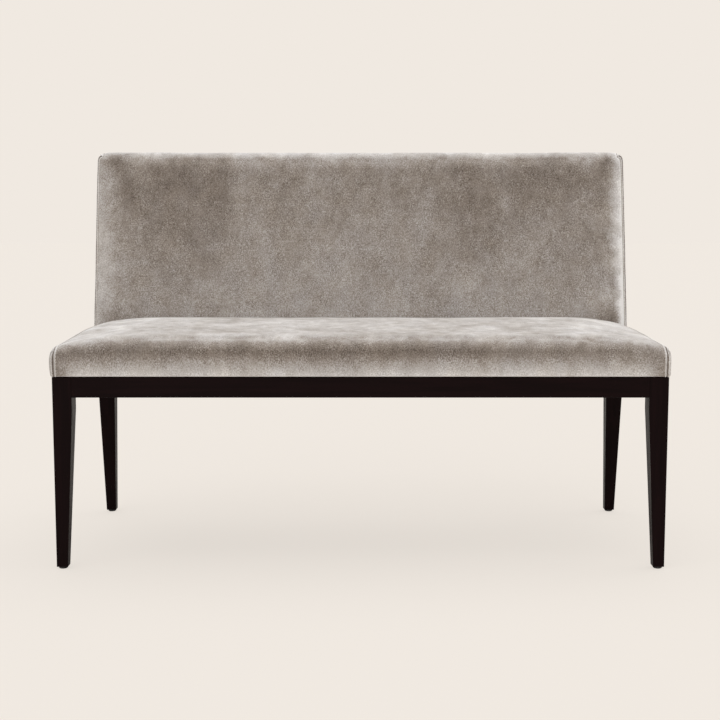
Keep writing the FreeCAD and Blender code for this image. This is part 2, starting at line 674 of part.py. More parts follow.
cross_sets, long_sets = [], []
landing_y = (f"{between[0]} - dim.webbing_landing", f"{between[1]} + dim.webbing_landing")
landing_x = "(pos.panel_half - dim.panel_rail_width + dim.webbing_landing)"
for first in (0, 1):
    body = doc.addObject("PartDesign::Body", "cross_straps")
    passed = [index for index in range(LONG_STRAPS) if (index + first) % 2 == 0]
    over = [f"({long_start} + {index} * {long_pitch})" for index in passed]
    strap = woven_strap(body, "YZ_Plane", landing_y, over, f"-{cross_start} + {first} * {cross_pitch}")
    repeat(body, strap, "X_Axis", straps(CROSS_STRAPS, first), f"2 * {cross_pitch}")
    cross_sets.append(body)

    # A sketch on the XZ plane faces forwards, so its offset runs towards -Y.
    body = doc.addObject("PartDesign::Body", "long_straps")
    passed = [index for index in range(CROSS_STRAPS) if (index + first) % 2 == 1]
    over = [f"({index} * {cross_pitch} - {cross_start})" for index in passed]
    where = f"-({long_start} + {first} * {long_pitch})"
    strap = woven_strap(body, "XZ_Plane", (f"-{landing_x}", landing_x), over, where)
    if straps(LONG_STRAPS, first) > 1:
        repeat(body, strap, "Y_Axis", straps(LONG_STRAPS, first), f"2 * {long_pitch}")
    long_sets.append(body)
node(group("seat_webbing_cross", cross_sets), "seat_webbing_cross")
node(group("seat_webbing_long", long_sets), "seat_webbing_long")

panel_plan = rectangle("-pos.panel_half", "pos.panel_half", "pos.panel_front", "pos.panel_rear")
hessian = prism("seat_cloth", "XY_Plane", panel_plan, "dim.hessian_thickness", "pos.hessian_bottom")
round_front_corners(hessian)
node(hessian, "seat_hessian")

# Foam, wadding and cover are nested blocks; wadding and cover are open below, the cover but for its lip.
foam = seat_form("seat_foam_block", "pos.layers", "pos.foam_bottom")
node(foam, "seat_foam")
wadding_outer = seat_form("seat_wadding_outer", "dim.cover_thickness", "pos.panel_bottom")
wadding_inner = seat_form("seat_wadding_inner", "pos.layers", "pos.panel_bottom")
node(cut("seat_wadding", wadding_outer, wadding_inner), "seat_wadding")
cover_outer = seat_form("seat_cover_outer", "0", "dim.rail_top")
cover_shell = cut("seat_cover_shell", cover_outer, wadding_outer)
lip_plan = rectangle("-(pos.seat_half - dim.lip_width)", "pos.seat_half - dim.lip_width",
                     "pos.seat_front + dim.lip_width", "pos.seat_rear - dim.lip_width")
below_lip = "dim.rail_top - dim.cover_thickness / 2"
lip_hole = prism("seat_lip_hole", "XY_Plane", lip_plan, "2 * dim.cover_thickness", below_lip)
cover = cut("seat_cover_whole", cover_shell, lip_hole)
seat_ends = {name: end_slab(f"seat_end_space_{name}", side, "pos.seam_x") for name, side in SIDES}
for side_name, end_space in seat_ends.items():
    label = f"seat_side_panel_{side_name}"
    node(common(label, cover, end_space), label)
node(cut("seat_cover", cover, group("seat_end_spaces", list(seat_ends.values()))), "seat_cover")

# The dust cover closes the space inside the lip.
dust_bottom = "pos.panel_bottom - dim.dust_cover_thickness"
dust_cloth = prism("seat_dust_cloth", "XY_Plane", lip_plan, "dim.dust_cover_thickness", dust_bottom)
node(cut("seat_dust_cover", dust_cloth, seat_holes), "seat_dust_cover")


# Back

def back_layer(name, near, far, low, high, start=None, length=None):
    """Straight layer of the back between two distances out and two heights along its slope."""
    if low is None:
        foot = [reclined_foot(near), reclined_foot(far)]
    else:
        foot = [reclined(low, near), reclined(low, far)]
    corners = foot + [reclined(high, far), reclined(high, near)]
    if length is None:
        return prism(name, "YZ_Plane", corners, "2 * pos.back_half", symmetric=True)
    return prism(name, "YZ_Plane", corners, length, start)


def back_form(name, near, far, top, half, radius, lift="0"):
    """Block of the back from the aprons, or a lift above them, with rounded front and top edges."""
    corners = [reclined_foot(near, lift), reclined_foot(far, lift), reclined(top, far), reclined(top, near)]
    body = prism(name, "YZ_Plane", corners, f"2 * ({half})", symmetric=True)
    middle_y = number(f"pos.post_front + ({near}) / 2")
    crest_z = number("dim.rail_top + pos.crest_bottom * cos(dim.recline_angle)")

    def front_or_top(edge):
        place = edge.CenterOfMass
        slope = (place.z - number("dim.rail_top")) * number("tan(dim.recline_angle)")
        in_front = place.y - slope < middle_y and place.z > number("pos.panel_top")
        across_top = place.z > crest_z and runs_along(edge, 1)
        return in_front or across_top

    round_edges(body, radius, front_or_top)
    return body


rail_length = "2 * pos.leg_inner"
for label, low, high in (("back_crest_rail", "pos.crest_bottom", "pos.frame_crest"),
                         ("back_bottom_rail", "dim.bottom_rail_rise", "pos.bottom_rail_top")):
    rail = back_layer(f"{label}_blank", "0", "dim.back_rail_thickness", low, high,
                      "-pos.leg_inner", rail_length)
    node(cut(label, rail, back_holes), label)
for side_name, side in SIDES:
    label = f"back_strut_{side_name}"
    strut_start = f"{side} * dim.back_strut_spacing / 2 - dim.back_strut_width / 2"
    strut = back_layer(f"{label}_blank", "0", "dim.back_rail_thickness",
                       "pos.bottom_rail_top", "pos.crest_bottom", strut_start, "dim.back_strut_width")
    node(cut(label, strut, back_holes), label)

strap_pitch = f"({rail_length} / {BACK_STRAPS})"
strap_start = f"-pos.leg_inner + {strap_pitch} / 2 - dim.webbing_width / 2"
back_strap = back_layer("back_straps", "-dim.webbing_thickness", "0",
                        "pos.bottom_rail_top - dim.webbing_landing", "pos.crest_bottom + dim.webbing_landing",
                        strap_start, "dim.webbing_width")
repeat(back_strap, back_strap.Tip, "X_Axis", BACK_STRAPS, strap_pitch)
node(back_strap, "back_webbing")

node(back_layer("back_cloth", "-pos.back_hessian_out", "-dim.webbing_thickness",
                "dim.bottom_rail_rise", "pos.frame_crest"), "back_hessian")
foam_radius = "dim.back_edge_radius - pos.layers"
node(back_form("back_foam_block", "-pos.back_foam_out", "-pos.back_hessian_out", "pos.frame_crest",
               "pos.back_half", foam_radius, "dim.cover_thickness"), "back_foam")
node(back_layer("back_board", "dim.back_post_depth", "pos.board_out", None, "pos.frame_crest"),
     "outside_back_board")

# The wadding lies over the foam and on over the crest; the cover follows it.
cover_inside = "-(dim.back_pad - dim.cover_thickness)"
inner_radius = "dim.back_edge_radius - dim.cover_thickness"
inner_top = "dim.back_height - dim.cover_thickness"
padded_space = back_form("back_padded_space", cover_inside, "pos.board_out", inner_top, "pos.back_half",
                         inner_radius, "dim.cover_thickness")
core_corners = [
    reclined_foot("-pos.back_foam_out"),
    reclined_foot("2 * pos.board_out"),
    reclined("pos.frame_crest", "2 * pos.board_out"),
    reclined("pos.frame_crest", "-pos.back_foam_out"),
]
core = prism("back_core", "YZ_Plane", core_corners, "2 * pos.seat_half", symmetric=True)
core_top = number("dim.rail_top + pos.crest_bottom * cos(dim.recline_angle)")
core_middle = number("pos.post_front + pos.crest_bottom * sin(dim.recline_angle)")


def front_of_crest(edge):
    place = edge.CenterOfMass
    return runs_along(edge, 0) and place.z > core_top and place.y < core_middle


round_edges(core, foam_radius, front_of_crest)
node(cut("back_wadding", padded_space, core), "back_wadding")

front_block = back_form("back_cover_block", "-dim.back_pad", "pos.board_out", "dim.back_height",
                        "pos.half_width", "dim.back_edge_radius")
back_ends = {name: end_slab(f"back_end_space_{name}", side, "pos.back_half") for name, side in SIDES}
frame_space = back_layer("back_frame_space", "0", "2 * pos.board_out", None, "pos.frame_crest")
front_shell = cut("back_cover_shell", front_block, padded_space)
open_shell = cut("back_cover_open", front_shell, frame_space)
node(cut("back_cover", open_shell, group("back_end_spaces", list(back_ends.values()))), "back_cover")
side_block = back_form("back_side_block", "-dim.back_pad", "pos.back_out", "dim.back_height",
                       "pos.half_width", "dim.back_edge_radius")
for side_name, end_space in back_ends.items():
    label = f"back_side_panel_{side_name}"
    node(common(label, side_block, end_space), label)
outside_space = back_layer("outside_space", "pos.board_out", "2 * pos.back_out", None, "dim.back_height")
node(common("outside_back_panel", side_block, outside_space), "outside_back_panel")

doc.recompute()

faults = [thing.Name for thing in doc.Objects if "Invalid" in thing.State or "Error" in thing.State]
faults += [piece.Label for piece in nodes if piece.Shape.isNull() or not piece.Shape.isValid()]
faults += [piece.Label for piece in nodes if not piece.Shape.Solids]
if faults:
    raise RuntimeError("failed: " + ", ".join(faults))

os.makedirs("parts", exist_ok=True)
for piece in nodes:
    piece.Shape.exportStep(f"parts/{piece.Label}.step")
whole = Part.makeCompound([piece.Shape for piece in nodes])
box = whole.BoundBox
print(f"{len(nodes)} nodes, {box.XLength:.1f} x {box.YLength:.1f} x {box.ZLength:.1f} mm")
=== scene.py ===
import math

import bmesh
import bpy
import numpy as np
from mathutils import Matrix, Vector, noise
from mathutils.bvhtree import BVHTree


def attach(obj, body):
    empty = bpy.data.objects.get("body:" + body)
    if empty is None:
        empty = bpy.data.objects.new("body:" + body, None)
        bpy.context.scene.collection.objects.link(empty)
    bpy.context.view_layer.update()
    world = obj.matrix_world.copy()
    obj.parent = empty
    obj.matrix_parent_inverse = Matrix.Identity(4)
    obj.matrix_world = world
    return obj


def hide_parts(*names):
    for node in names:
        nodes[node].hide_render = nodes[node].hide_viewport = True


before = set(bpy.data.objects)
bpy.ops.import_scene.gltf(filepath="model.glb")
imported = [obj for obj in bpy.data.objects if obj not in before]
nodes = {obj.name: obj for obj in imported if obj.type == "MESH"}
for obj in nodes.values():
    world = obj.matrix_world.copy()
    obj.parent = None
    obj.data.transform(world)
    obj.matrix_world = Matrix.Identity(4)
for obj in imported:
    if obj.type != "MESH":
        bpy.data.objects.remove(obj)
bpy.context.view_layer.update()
scene = bpy.context.scene
mm = 0.001
tiny = 1e-9     # keeps divisions away from zero
print("frame loaded:", len(nodes), "nodes")


# meshes

def smoothStep(t):
    t = np.clip(t, 0.0, 1.0)
    return t * t * (3.0 - 2.0 * t)


def within(value, limit, soft):
    # 0 from the limit on, rising to 1 as far inside it as the soft width
    return smoothStep((limit - value) / soft)


def beyond(value, limit, soft):
    # 0 up to the limit, rising to 1 over the soft width
    return smoothStep((value - limit) / soft)


def makeObject(name, points, faces, material=None, smooth=True):
    mesh = bpy.data.meshes.new(name)
    mesh.from_pydata([tuple(p) for p in points], [], [tuple(f) for f in faces])
    mesh.validate()
    if smooth:
        mesh.shade_smooth()
    piece = bpy.data.objects.new(name, mesh)
    scene.collection.objects.link(piece)
    if material:
        mesh.materials.append(material)
    return piece


def setFloats(mesh, name, values):
    attribute = mesh.attributes.new(name, "FLOAT", "POINT")
    attribute.data.foreach_set("value", np.asarray(values, np.float32))


def readPoints(mesh):
    flat = np.zeros(len(mesh.vertices) * 3, np.float32)
    mesh.vertices.foreach_get("co", flat)
    return flat.reshape(-1, 3).astype(float)


def evaluatedMesh(piece):
    depsgraph = bpy.context.evaluated_depsgraph_get()
    return bpy.data.meshes.new_from_object(piece.evaluated_get(depsgraph))


def addWall(piece, thickness, offset):
    wall = piece.modifiers.new("wall", "SOLIDIFY")
    wall.thickness, wall.offset = thickness, offset


def addDivide(piece):
    divide = piece.modifiers.new("divide", "SUBSURF")
    divide.levels = divide.render_levels = 1


def keepModified(piece):
    mesh = evaluatedMesh(piece)
    piece.modifiers.clear()
    piece.data = mesh


def gridFaces(index, flip):
    a, b = index[:-1, :-1], index[1:, :-1]
    c, d = index[1:, 1:], index[:-1, 1:]
    quads = np.stack([a, b, c, d], -1).reshape(-1, 4)
    return quads[:, ::-1] if flip else quads


def gridSheet(name, points, material):
    index = np.arange(points[..., 0].size).reshape(points.shape[:2])
    return makeObject(name, points.reshape(-1, 3), gridFaces(index, True), material)


def latticeBox(linesX, linesA, linesH):
    # surface of a box as one closed grid, and where each corner lies in it
    shape = (len(linesX), len(linesA), len(linesH))
    place = np.indices(shape).reshape(3, -1).T
    last = np.array(shape) - 1
    outside = ((place == 0) | (place == last)).any(1)
    index = np.full(shape, -1)
    place = place[outside]
    index[tuple(place.T)] = np.arange(len(place))
    quads = np.concatenate([
        gridFaces(index[:, :, 0], True), gridFaces(index[:, :, -1], False),
        gridFaces(index[:, 0, :], False), gridFaces(index[:, -1, :], True),
        gridFaces(index[0, :, :], True), gridFaces(index[-1, :, :], False),
    ])
    points = np.stack([linesX[place[:, 0]], linesA[place[:, 1]], linesH[place[:, 2]]], -1)
    return points, quads, place, index


def roundShare(across, up):
    # how far a corner point of a square moves in to lie on its quarter round
    length = np.hypot(across, up)
    return np.where(length > tiny, np.maximum(across, up) / np.maximum(length, tiny), 1.0)


def wallShares(u, v, low, high, sides, first, last):
    # 1 at a wall and 0 at the round's own width inside it, with the way outwards
    left = np.clip(1.0 - (u - low[0]) / sides, 0.0, 1.0)
    right = np.clip(1.0 - (high[0] - u) / sides, 0.0, 1.0)
    near = np.clip(1.0 - (v - low[1]) / first, 0.0, 1.0)
    far = np.clip(1.0 - (high[1] - v) / last, 0.0, 1.0)
    wayU, wayV = (right - left) * sides, far * last - near * first
    length = np.maximum(np.hypot(wayU, wayV), tiny)
    atEnd = np.maximum(near, far) > np.maximum(left, right)
    radius = np.where(atEnd, np.where(far > near, last, first), sides)
    return np.max([left, right, near, far], 0), radius, wayU / length, wayV / length


def roundBlock(points, low, high, corner, edge, heel):
    # a box with its outline's corners rounded, then its upper edges, then its lower ones
    u, v, w = points.T
    radius = np.where(v < (low[1] + high[1]) / 2, corner[0], corner[1])
    innerU = np.clip(u, low[0] + radius, high[0] - radius)
    innerV = np.clip(v, low[1] + corner[0], high[1] - corner[1])
    pull = roundShare(abs(u - innerU) / radius, abs(v - innerV) / radius)
    outU, outV = innerU + (u - innerU) * pull, innerV + (v - innerV) * pull
    sides, first, last, tall = edge
    share, width, wayU, wayV = wallShares(u, v, low, high, sides, first, last)
    up = np.clip(1.0 - (high[2] - w) / tall, 0.0, 1.0)
    pull = roundShare(share, up)
    inwards = share * (1.0 - pull) * width
    outU, outV = outU - wayU * inwards, outV - wayV * inwards
    raised = w - up * (1.0 - pull) * tall
    share, width, wayU, wayV = wallShares(u, v, low, high, heel, heel, heel)
    under = np.clip(1.0 - (w - low[2]) / heel, 0.0, 1.0)
    pull = roundShare(share, under)
    inwards = share * (1.0 - pull) * heel
    raised = raised + under * (1.0 - pull) * heel
    return np.stack([outU - wayU * inwards, outV - wayV * inwards, raised], -1)


def evenLines(low, high, step):
    return np.linspace(low, high, max(2, int(round((high - low) / step)) + 1))


def edgedLines(low, high, step, near, far=None):
    # grid lines that crowd together at both ends
    far = near if far is None else far
    first, last = low + near[-1], high - far[-1]
    return np.concatenate([low + near[:-1], evenLines(first, last, step), high - far[-2::-1]])


def outwardNormals(points, quads):
    corners = points[quads]
    faceNormals = np.cross(corners[:, 2] - corners[:, 0], corners[:, 3] - corners[:, 1])
    total = np.zeros_like(points)
    for i in range(4):
        np.add.at(total, quads[:, i], faceNormals)
    return total / np.maximum(np.linalg.norm(total, axis=1, keepdims=True), tiny)


# node groups and materials

def newGroup(name, inputs, outputs):
    # takes a vector and numbers, gives numbers
    tree = bpy.data.node_groups.new(name, "ShaderNodeTree")
    tree.interface.new_socket("Vector", in_out="INPUT", socket_type="NodeSocketVector")
    for label, value in inputs.items():
        socket = tree.interface.new_socket(label, in_out="INPUT", socket_type="NodeSocketFloat")
        socket.default_value = value
    for label in outputs:
        tree.interface.new_socket(label, in_out="OUTPUT", socket_type="NodeSocketFloat")
    return tree, tree.nodes.new("NodeGroupInput").outputs, tree.nodes.new("NodeGroupOutput").inputs


def feed(tree, socket, value):
    # a number or a colour is set, another socket is linked
    if isinstance(value, (int, float, tuple)):
        socket.default_value = value
    else:
        tree.links.new(value, socket)


def noiseNode(tree, vector, *values):
    node = tree.nodes.new("ShaderNodeTexNoise")
    tree.links.new(vector, node.inputs["Vector"])
    for label, value in zip(("Scale", "Detail", "Roughness", "Distortion"), values):
        feed(tree, node.inputs[label], value)
    return node.outputs["Fac"]


def mathNode(tree, operation, *values, clamp=False):
    node = tree.nodes.new("ShaderNodeMath")
    node.operation, node.use_clamp = operation, clamp
    for socket, value in zip(node.inputs, values):
        feed(tree, socket, value)
    return node.outputs[0]


def colourMix(tree, factor, first, second, blend="MIX"):
    node = tree.nodes.new("ShaderNodeMix")
    node.data_type, node.blend_type = "RGBA", blend
    for i, value in ((0, factor), (6, first), (7, second)):     # its sockets for colours
        feed(tree, node.inputs[i], value)
    return node.outputs[2]


def stretched(tree, vector, scale):
    node = tree.nodes.new("ShaderNodeMapping")
    node.inputs["Scale"].default_value = scale
    tree.links.new(vector, node.inputs["Vector"])
    return node.outputs["Vector"]


def newMaterial(name):
    material = bpy.data.materials.new(name)
    material.use_nodes = True
    tree = material.node_tree
    shader = tree.nodes["Principled BSDF"]
    where = tree.nodes.new("ShaderNodeTexCoord").outputs["Object"]
    return material, tree, shader, where


def placeGroup(tree, group, vector, values):
    node = tree.nodes.new("ShaderNodeGroup")
    node.node_tree = group
    tree.links.new(vector, node.inputs["Vector"])
    for label, value in values.items():
        node.inputs[label].default_value = value
    return node.outputs


def bumpInto(tree, shader, height, strength, distance):
    bump = tree.nodes.new("ShaderNodeBump")
    bump.inputs["Strength"].default_value = strength
    bump.inputs["Distance"].default_value = distance
    tree.links.new(height, bump.inputs["Height"])
    tree.links.new(bump.outputs["Normal"], shader.inputs["Normal"])


def roughInto(tree, shader, field, spread, least):
    rough = mathNode(tree, "MULTIPLY_ADD", field, spread, least)
    tree.links.new(rough, shader.inputs["Roughness"])


def tonesInto(tree, shader, shade, look):
    tree.links.new(colourMix(tree, shade, look["dark"], look["light"]), shader.inputs["Base Color"])


def setShader(shader, **values):
    for label, value in values.items():
        shader.inputs[label.replace("_", " ")].default_value = value


def linear(red, green, blue):
    # screen colour, 0 to 255, as the shader's linear colour
    values = []
    for part in (red, green, blue):
        part /= 255.0
        values.append(part / 12.92 if part <= 0.04045 else ((part + 0.055) / 1.055) ** 2.4)
    return (*values, 1.0)


mottleLook = {
    "inputs": {"Patch Scale": 7.0, "Patch Amount": 0.5, "Stroke Scale": 30.0, "Stroke Amount": 0.5,
               "Grain Scale": 300.0},
    # detail, roughness and distortion of each noise
    "patch": (3.0, 0.55, 0.8), "stroke": (4.0, 0.6, 0.5), "grain": (1.0, 0.5), "tint": (2.0, 0.5),
    "drift": (2.0, 0.5), "tintScale": 2.6, "driftScale": 0.75, "driftGain": 1.6, "driftLeast": 0.2,
    "grainHeight": 0.12,
}


def buildMottle(look):
    # broad patches and smaller strokes, about zero, with a fine grain and a slow drift of tint
    tree, given, result = newGroup("mottle", look["inputs"], ("Shade", "Height", "Grain", "Tint"))
    vector = given["Vector"]
    patch = noiseNode(tree, vector, given["Patch Scale"], *look["patch"])
    stroke = noiseNode(tree, vector, given["Stroke Scale"], *look["stroke"])
    grain = noiseNode(tree, vector, given["Grain Scale"], *look["grain"])
    tintScale = mathNode(tree, "MULTIPLY", given["Patch Scale"], look["tintScale"])
    tint = noiseNode(tree, vector, tintScale, *look["tint"])
    shade = 0.0
    for field, amount in ((patch, "Patch Amount"), (stroke, "Stroke Amount")):
        off = mathNode(tree, "SUBTRACT", field, 0.5)
        shade = mathNode(tree, "MULTIPLY_ADD", off, given[amount], shade)
    height = mathNode(tree, "MULTIPLY_ADD", grain, look["grainHeight"], stroke)
    driftScale = mathNode(tree, "MULTIPLY", given["Stroke Scale"], look["driftScale"])
    drift = noiseNode(tree, vector, driftScale, *look["drift"])
    # the grain comes and goes, one on average
    strength = mathNode(tree, "MULTIPLY_ADD", drift, look["driftGain"], look["driftLeast"])
    grain = mathNode(tree, "MULTIPLY_ADD", mathNode(tree, "SUBTRACT", grain, 0.5), strength, 0.5)
    for socket, label in ((shade, "Shade"), (height, "Height"), (grain, "Grain"), (tint, "Tint")):
        tree.links.new(socket, result[label])
    return tree


mottle = buildMottle(mottleLook)

velvetLook = {
    "dark": linear(94, 84, 76), "mid": linear(139, 130, 121), "light": linear(206, 203, 200),
    # the lightest tone, above light, is reached only by painted highlights
    "paintedHighlight": linear(228, 227, 224), "midAt": 0.36, "lightAt": 0.8,
    # turned and turnedPower: how far the painted sheen lightens surfaces that turn from the eye
    "rest": 0.28, "turned": 0.62, "turnedPower": 0.62, "even": 0.9, "ragged": 1.85,
    "warm": (1.03, 1.0, 0.965, 1.0), "cool": (0.975, 0.985, 1.03, 1.0),
    "brush": (1.0, 1.0, 0.75),      # strokes are longer upwards
    "roughLeast": 0.75, "roughSpread": 0.2, "specular": 0.12, "bump": 0.4, "bumpDepth": 3.0 * mm,
    "sheen": 0.3, "sheenRoughness": 0.45, "sheenTint": (1.0, 0.98, 0.955, 1.0),
    "field": {"Patch Scale": 8.0, "Patch Amount": 0.42, "Stroke Scale": 38.0, "Stroke Amount": 0.38,
              "Grain Scale": 440.0},
    "grain": 1.1, "grainTurned": -0.45,
}


def makeVelvet(look):
    # pile seen end-on is dark; as a painted sheen the colour lightens where the surface turns away from the
    # eye, and the painted light and shade carried on the mesh is added on
    material, tree, shader, where = newMaterial("velvet")
    field = placeGroup(tree, mottle, stretched(tree, where, look["brush"]), look["field"])
    turned = tree.nodes.new("ShaderNodeLayerWeight")
    turned.inputs["Blend"].default_value = 0.5
    # painted sheen: lighter where the surface turns from the eye
    paintedSheen = mathNode(tree, "POWER", turned.outputs["Facing"], look["turnedPower"])
    # painted light and shade, carried on the mesh as an attribute
    paintedLevel = tree.nodes.new("ShaderNodeAttribute")
    paintedLevel.attribute_name = "paintedShading"
    ragged = mathNode(tree, "MULTIPLY_ADD", paintedSheen, look["ragged"], look["even"])   # strokes tell more there
    shade = mathNode(tree, "MULTIPLY_ADD", paintedSheen, look["turned"], look["rest"])
    shade = mathNode(tree, "MULTIPLY_ADD", field["Shade"], ragged, shade)
    speckle = mathNode(tree, "MULTIPLY_ADD", paintedSheen, look["grainTurned"], look["grain"])
    shade = mathNode(tree, "MULTIPLY_ADD", mathNode(tree, "SUBTRACT", field["Grain"], 0.5), speckle, shade)
    shade = mathNode(tree, "ADD", shade, paintedLevel.outputs["Fac"])
    shade = mathNode(tree, "MULTIPLY", shade, look["lightAt"], clamp=True)     # room for the lightest painted highlights
    ramp = tree.nodes.new("ShaderNodeValToRGB")
    stops = ramp.color_ramp.elements
    stops[0].color, stops[1].color = look["dark"], look["paintedHighlight"]
    stops.new(look["midAt"] * look["lightAt"]).color = look["mid"]
    stops.new(look["lightAt"]).color = look["light"]
    tree.links.new(shade, ramp.inputs[0])
    tint = colourMix(tree, field["Tint"], look["warm"], look["cool"])
    tree.links.new(colourMix(tree, 1.0, ramp.outputs[0], tint, "MULTIPLY"), shader.inputs["Base Color"])
    roughInto(tree, shader, field["Grain"], look["roughSpread"], look["roughLeast"])
    bumpInto(tree, shader, field["Height"], look["bump"], look["bumpDepth"])
    setShader(shader, Sheen_Weight=look["sheen"], Sheen_Roughness=look["sheenRoughness"],
              Sheen_Tint=look["sheenTint"], Specular_IOR_Level=look["specular"])
    return material


velvet = makeVelvet(velvetLook)

woodLook = {
    "inputs": {"Band Scale": 9.0, "Pore Scale": 70.0, "Pore Amount": 0.5},
    "band": (4.0, 0.6, 1.2), "fine": (3.0, 0.65),       # detail, roughness, distortion
    "poreFrom": 0.42, "poreGain": 6.0, "bandHeight": 0.3,
    "poreTone": 0.35, "bandTone": 0.65, "poreGloss": -0.1, "bumpDepth": 0.6 * mm,
}


def buildWoodGrain(look):
    # long pores and soft bands, drawn out along the timber
    tree, given, result = newGroup("woodGrain", look["inputs"], ("Band", "Pore", "Height"))
    band = noiseNode(tree, given["Vector"], given["Band Scale"], *look["band"])
    fine = noiseNode(tree, given["Vector"], given["Pore Scale"], *look["fine"])
    deep = mathNode(tree, "SUBTRACT", fine, look["poreFrom"])
    pore = mathNode(tree, "MULTIPLY", deep, look["poreGain"], clamp=True)
    waves = mathNode(tree, "MULTIPLY", band, look["bandHeight"])
    height = mathNode(tree, "MULTIPLY_ADD", pore, given["Pore Amount"], waves)
    for socket, label in ((band, "Band"), (pore, "Pore"), (height, "Height")):
        tree.links.new(socket, result[label])
    return tree


woodGrain = buildWoodGrain(woodLook)

timberLooks = {
    "stained": {"dark": linear(9, 3, 3), "light": linear(24, 10, 11), "roughMost": 0.44,
                "specular": 0.05, "bump": 0.12},
    "raw": {"dark": linear(168, 124, 84), "light": linear(206, 166, 122), "roughMost": 0.72,
            "specular": 0.3, "bump": 0.2},
}
grainAlong = {"x": (0.06, 1.0, 1.0), "y": (1.0, 0.06, 1.0), "z": (1.0, 1.0, 0.06)}     # drawn out that way


def makeTimber(finish, axis):
    look = timberLooks[finish]
    material, tree, shader, where = newMaterial(finish + "Timber" + axis.upper())
    field = placeGroup(tree, woodGrain, stretched(tree, where, grainAlong[axis]), {})
    banded = mathNode(tree, "MULTIPLY", field["Band"], woodLook["bandTone"])
    shade = mathNode(tree, "MULTIPLY_ADD", field["Pore"], woodLook["poreTone"], banded)
    tonesInto(tree, shader, shade, look)
    roughInto(tree, shader, field["Pore"], woodLook["poreGloss"], look["roughMost"])
    bumpInto(tree, shader, field["Height"], look["bump"], woodLook["bumpDepth"])
    setShader(shader, Specular_IOR_Level=look["specular"])
    return material


timbers = {(finish, axis): makeTimber(finish, axis) for finish in timberLooks for axis in grainAlong}

clothSurface = {
    "inputs": {"Threads": 400.0, "Slub Scale": 60.0}, "slubNoise": (3.0, 0.6),
    "slubTone": 0.5, "threadTone": 0.5, "roughLeast": 0.75, "roughSpread": 0.2,
    "bump": 0.4, "bumpDepth": 0.5 * mm, "specular": 0.2,
}


def buildWeave(look):
    # plain over-and-under weave on two axes
    tree, given, result = newGroup("weave", look["inputs"], ("Thread", "Slub"))
    parts = tree.nodes.new("ShaderNodeSeparateXYZ")
    tree.links.new(given["Vector"], parts.inputs[0])
    waves = []
    for label in ("X", "Y"):
        turn = mathNode(tree, "MULTIPLY", parts.outputs[label], given["Threads"])
        waves.append(mathNode(tree, "SINE", mathNode(tree, "MULTIPLY", turn, math.pi)))
    over = mathNode(tree, "MULTIPLY", waves[0], waves[1])
    thread = mathNode(tree, "MULTIPLY_ADD", over, 0.5, 0.5)     # from 0 to 1
    slub = noiseNode(tree, given["Vector"], given["Slub Scale"], *look["slubNoise"])
    tree.links.new(thread, result["Thread"])
    tree.links.new(slub, result["Slub"])
    return tree


weave = buildWeave(clothSurface)

clothLooks = {
    "hessian": {"dark": linear(120, 92, 58), "light": linear(176, 144, 100), "threads": 500.0},
    "webbing": {"dark": linear(30, 28, 26), "light": linear(96, 88, 76), "threads": 700.0},
    "dustCloth": {"dark": linear(14, 14, 15), "light": linear(34, 34, 36), "threads": 900.0},
}


def makeCloth(name):
    look = clothLooks[name]
    material, tree, shader, where = newMaterial(name)
    field = placeGroup(tree, weave, where, {"Threads": look["threads"]})
    threads = mathNode(tree, "MULTIPLY", field["Thread"], clothSurface["threadTone"])
    shade = mathNode(tree, "MULTIPLY_ADD", field["Slub"], clothSurface["slubTone"], threads)
    tonesInto(tree, shader, shade, look)
    roughInto(tree, shader, field["Slub"], clothSurface["roughSpread"], clothSurface["roughLeast"])
    bumpInto(tree, shader, field["Thread"], clothSurface["bump"], clothSurface["bumpDepth"])
    setShader(shader, Specular_IOR_Level=clothSurface["specular"])
    return material


cloths = {name: makeCloth(name) for name in clothLooks}

plainLooks = {
    "glidePlastic": {"dark": linear(18, 17, 17), "light": linear(34, 32, 31), "roughLeast": 0.4,
                     "metal": 0.0, "grain": 500.0},
    "zincSteel": {"dark": linear(128, 130, 132), "light": linear(182, 184, 186), "roughLeast": 0.24,
                  "metal": 1.0, "grain": 900.0},
    "hardboard": {"dark": linear(92, 64, 42), "light": linear(128, 94, 64), "roughLeast": 0.65,
                  "metal": 0.0, "grain": 350.0},
    "thread": {"dark": linear(176, 167, 157), "light": linear(222, 216, 208), "roughLeast": 0.5,
               "metal": 0.0, "grain": 1500.0},
}
plainSurface = {"least": 0.25, "grainTone": 0.5, "roughSpread": 0.2, "bump": 0.1, "bumpDepth": 0.3 * mm}


def makePlain(name):
    look = plainLooks[name]
    material, tree, shader, where = newMaterial(name)
    field = placeGroup(tree, mottle, where, {"Grain Scale": look["grain"]})
    shade = mathNode(tree, "ADD", field["Shade"], plainSurface["least"])
    shade = mathNode(tree, "MULTIPLY_ADD", field["Grain"], plainSurface["grainTone"], shade, clamp=True)
    tonesInto(tree, shader, shade, look)
    roughInto(tree, shader, field["Grain"], plainSurface["roughSpread"], look["roughLeast"])
    bumpInto(tree, shader, field["Grain"], plainSurface["bump"], plainSurface["bumpDepth"])
    setShader(shader, Metallic=look["metal"])
    return material


plains = {name: makePlain(name) for name in plainLooks}
print("materials made:", len(bpy.data.materials))


# padded forms

lean = math.radians(12.0)
railTop = 418.0 * mm
postFront = 163.4 * mm
gap = 0.2 * mm      # under the covers

nearEdge = np.array([0.0, 2.4, 4.4, 6.8, 9.5, 13.5, 18.0, 24.0]) * mm   # grid lines, from an edge inwards
nearRound = np.array([0.0, 3.0, 6.5, 10.5, 15.0, 20.0, 26.0]) * mm
nearHeel = np.array([0.0, 2.0, 5.0, 10.0]) * mm


def reclined(x, along, out):
    # place in the back, from its slope and its distance behind the fronts of the posts
    y = postFront + along * math.sin(lean) + out * math.cos(lean)
    z = railTop + along * math.cos(lean) - out * math.sin(lean)
    return np.stack(np.broadcast_arrays(x, y, z), -1)


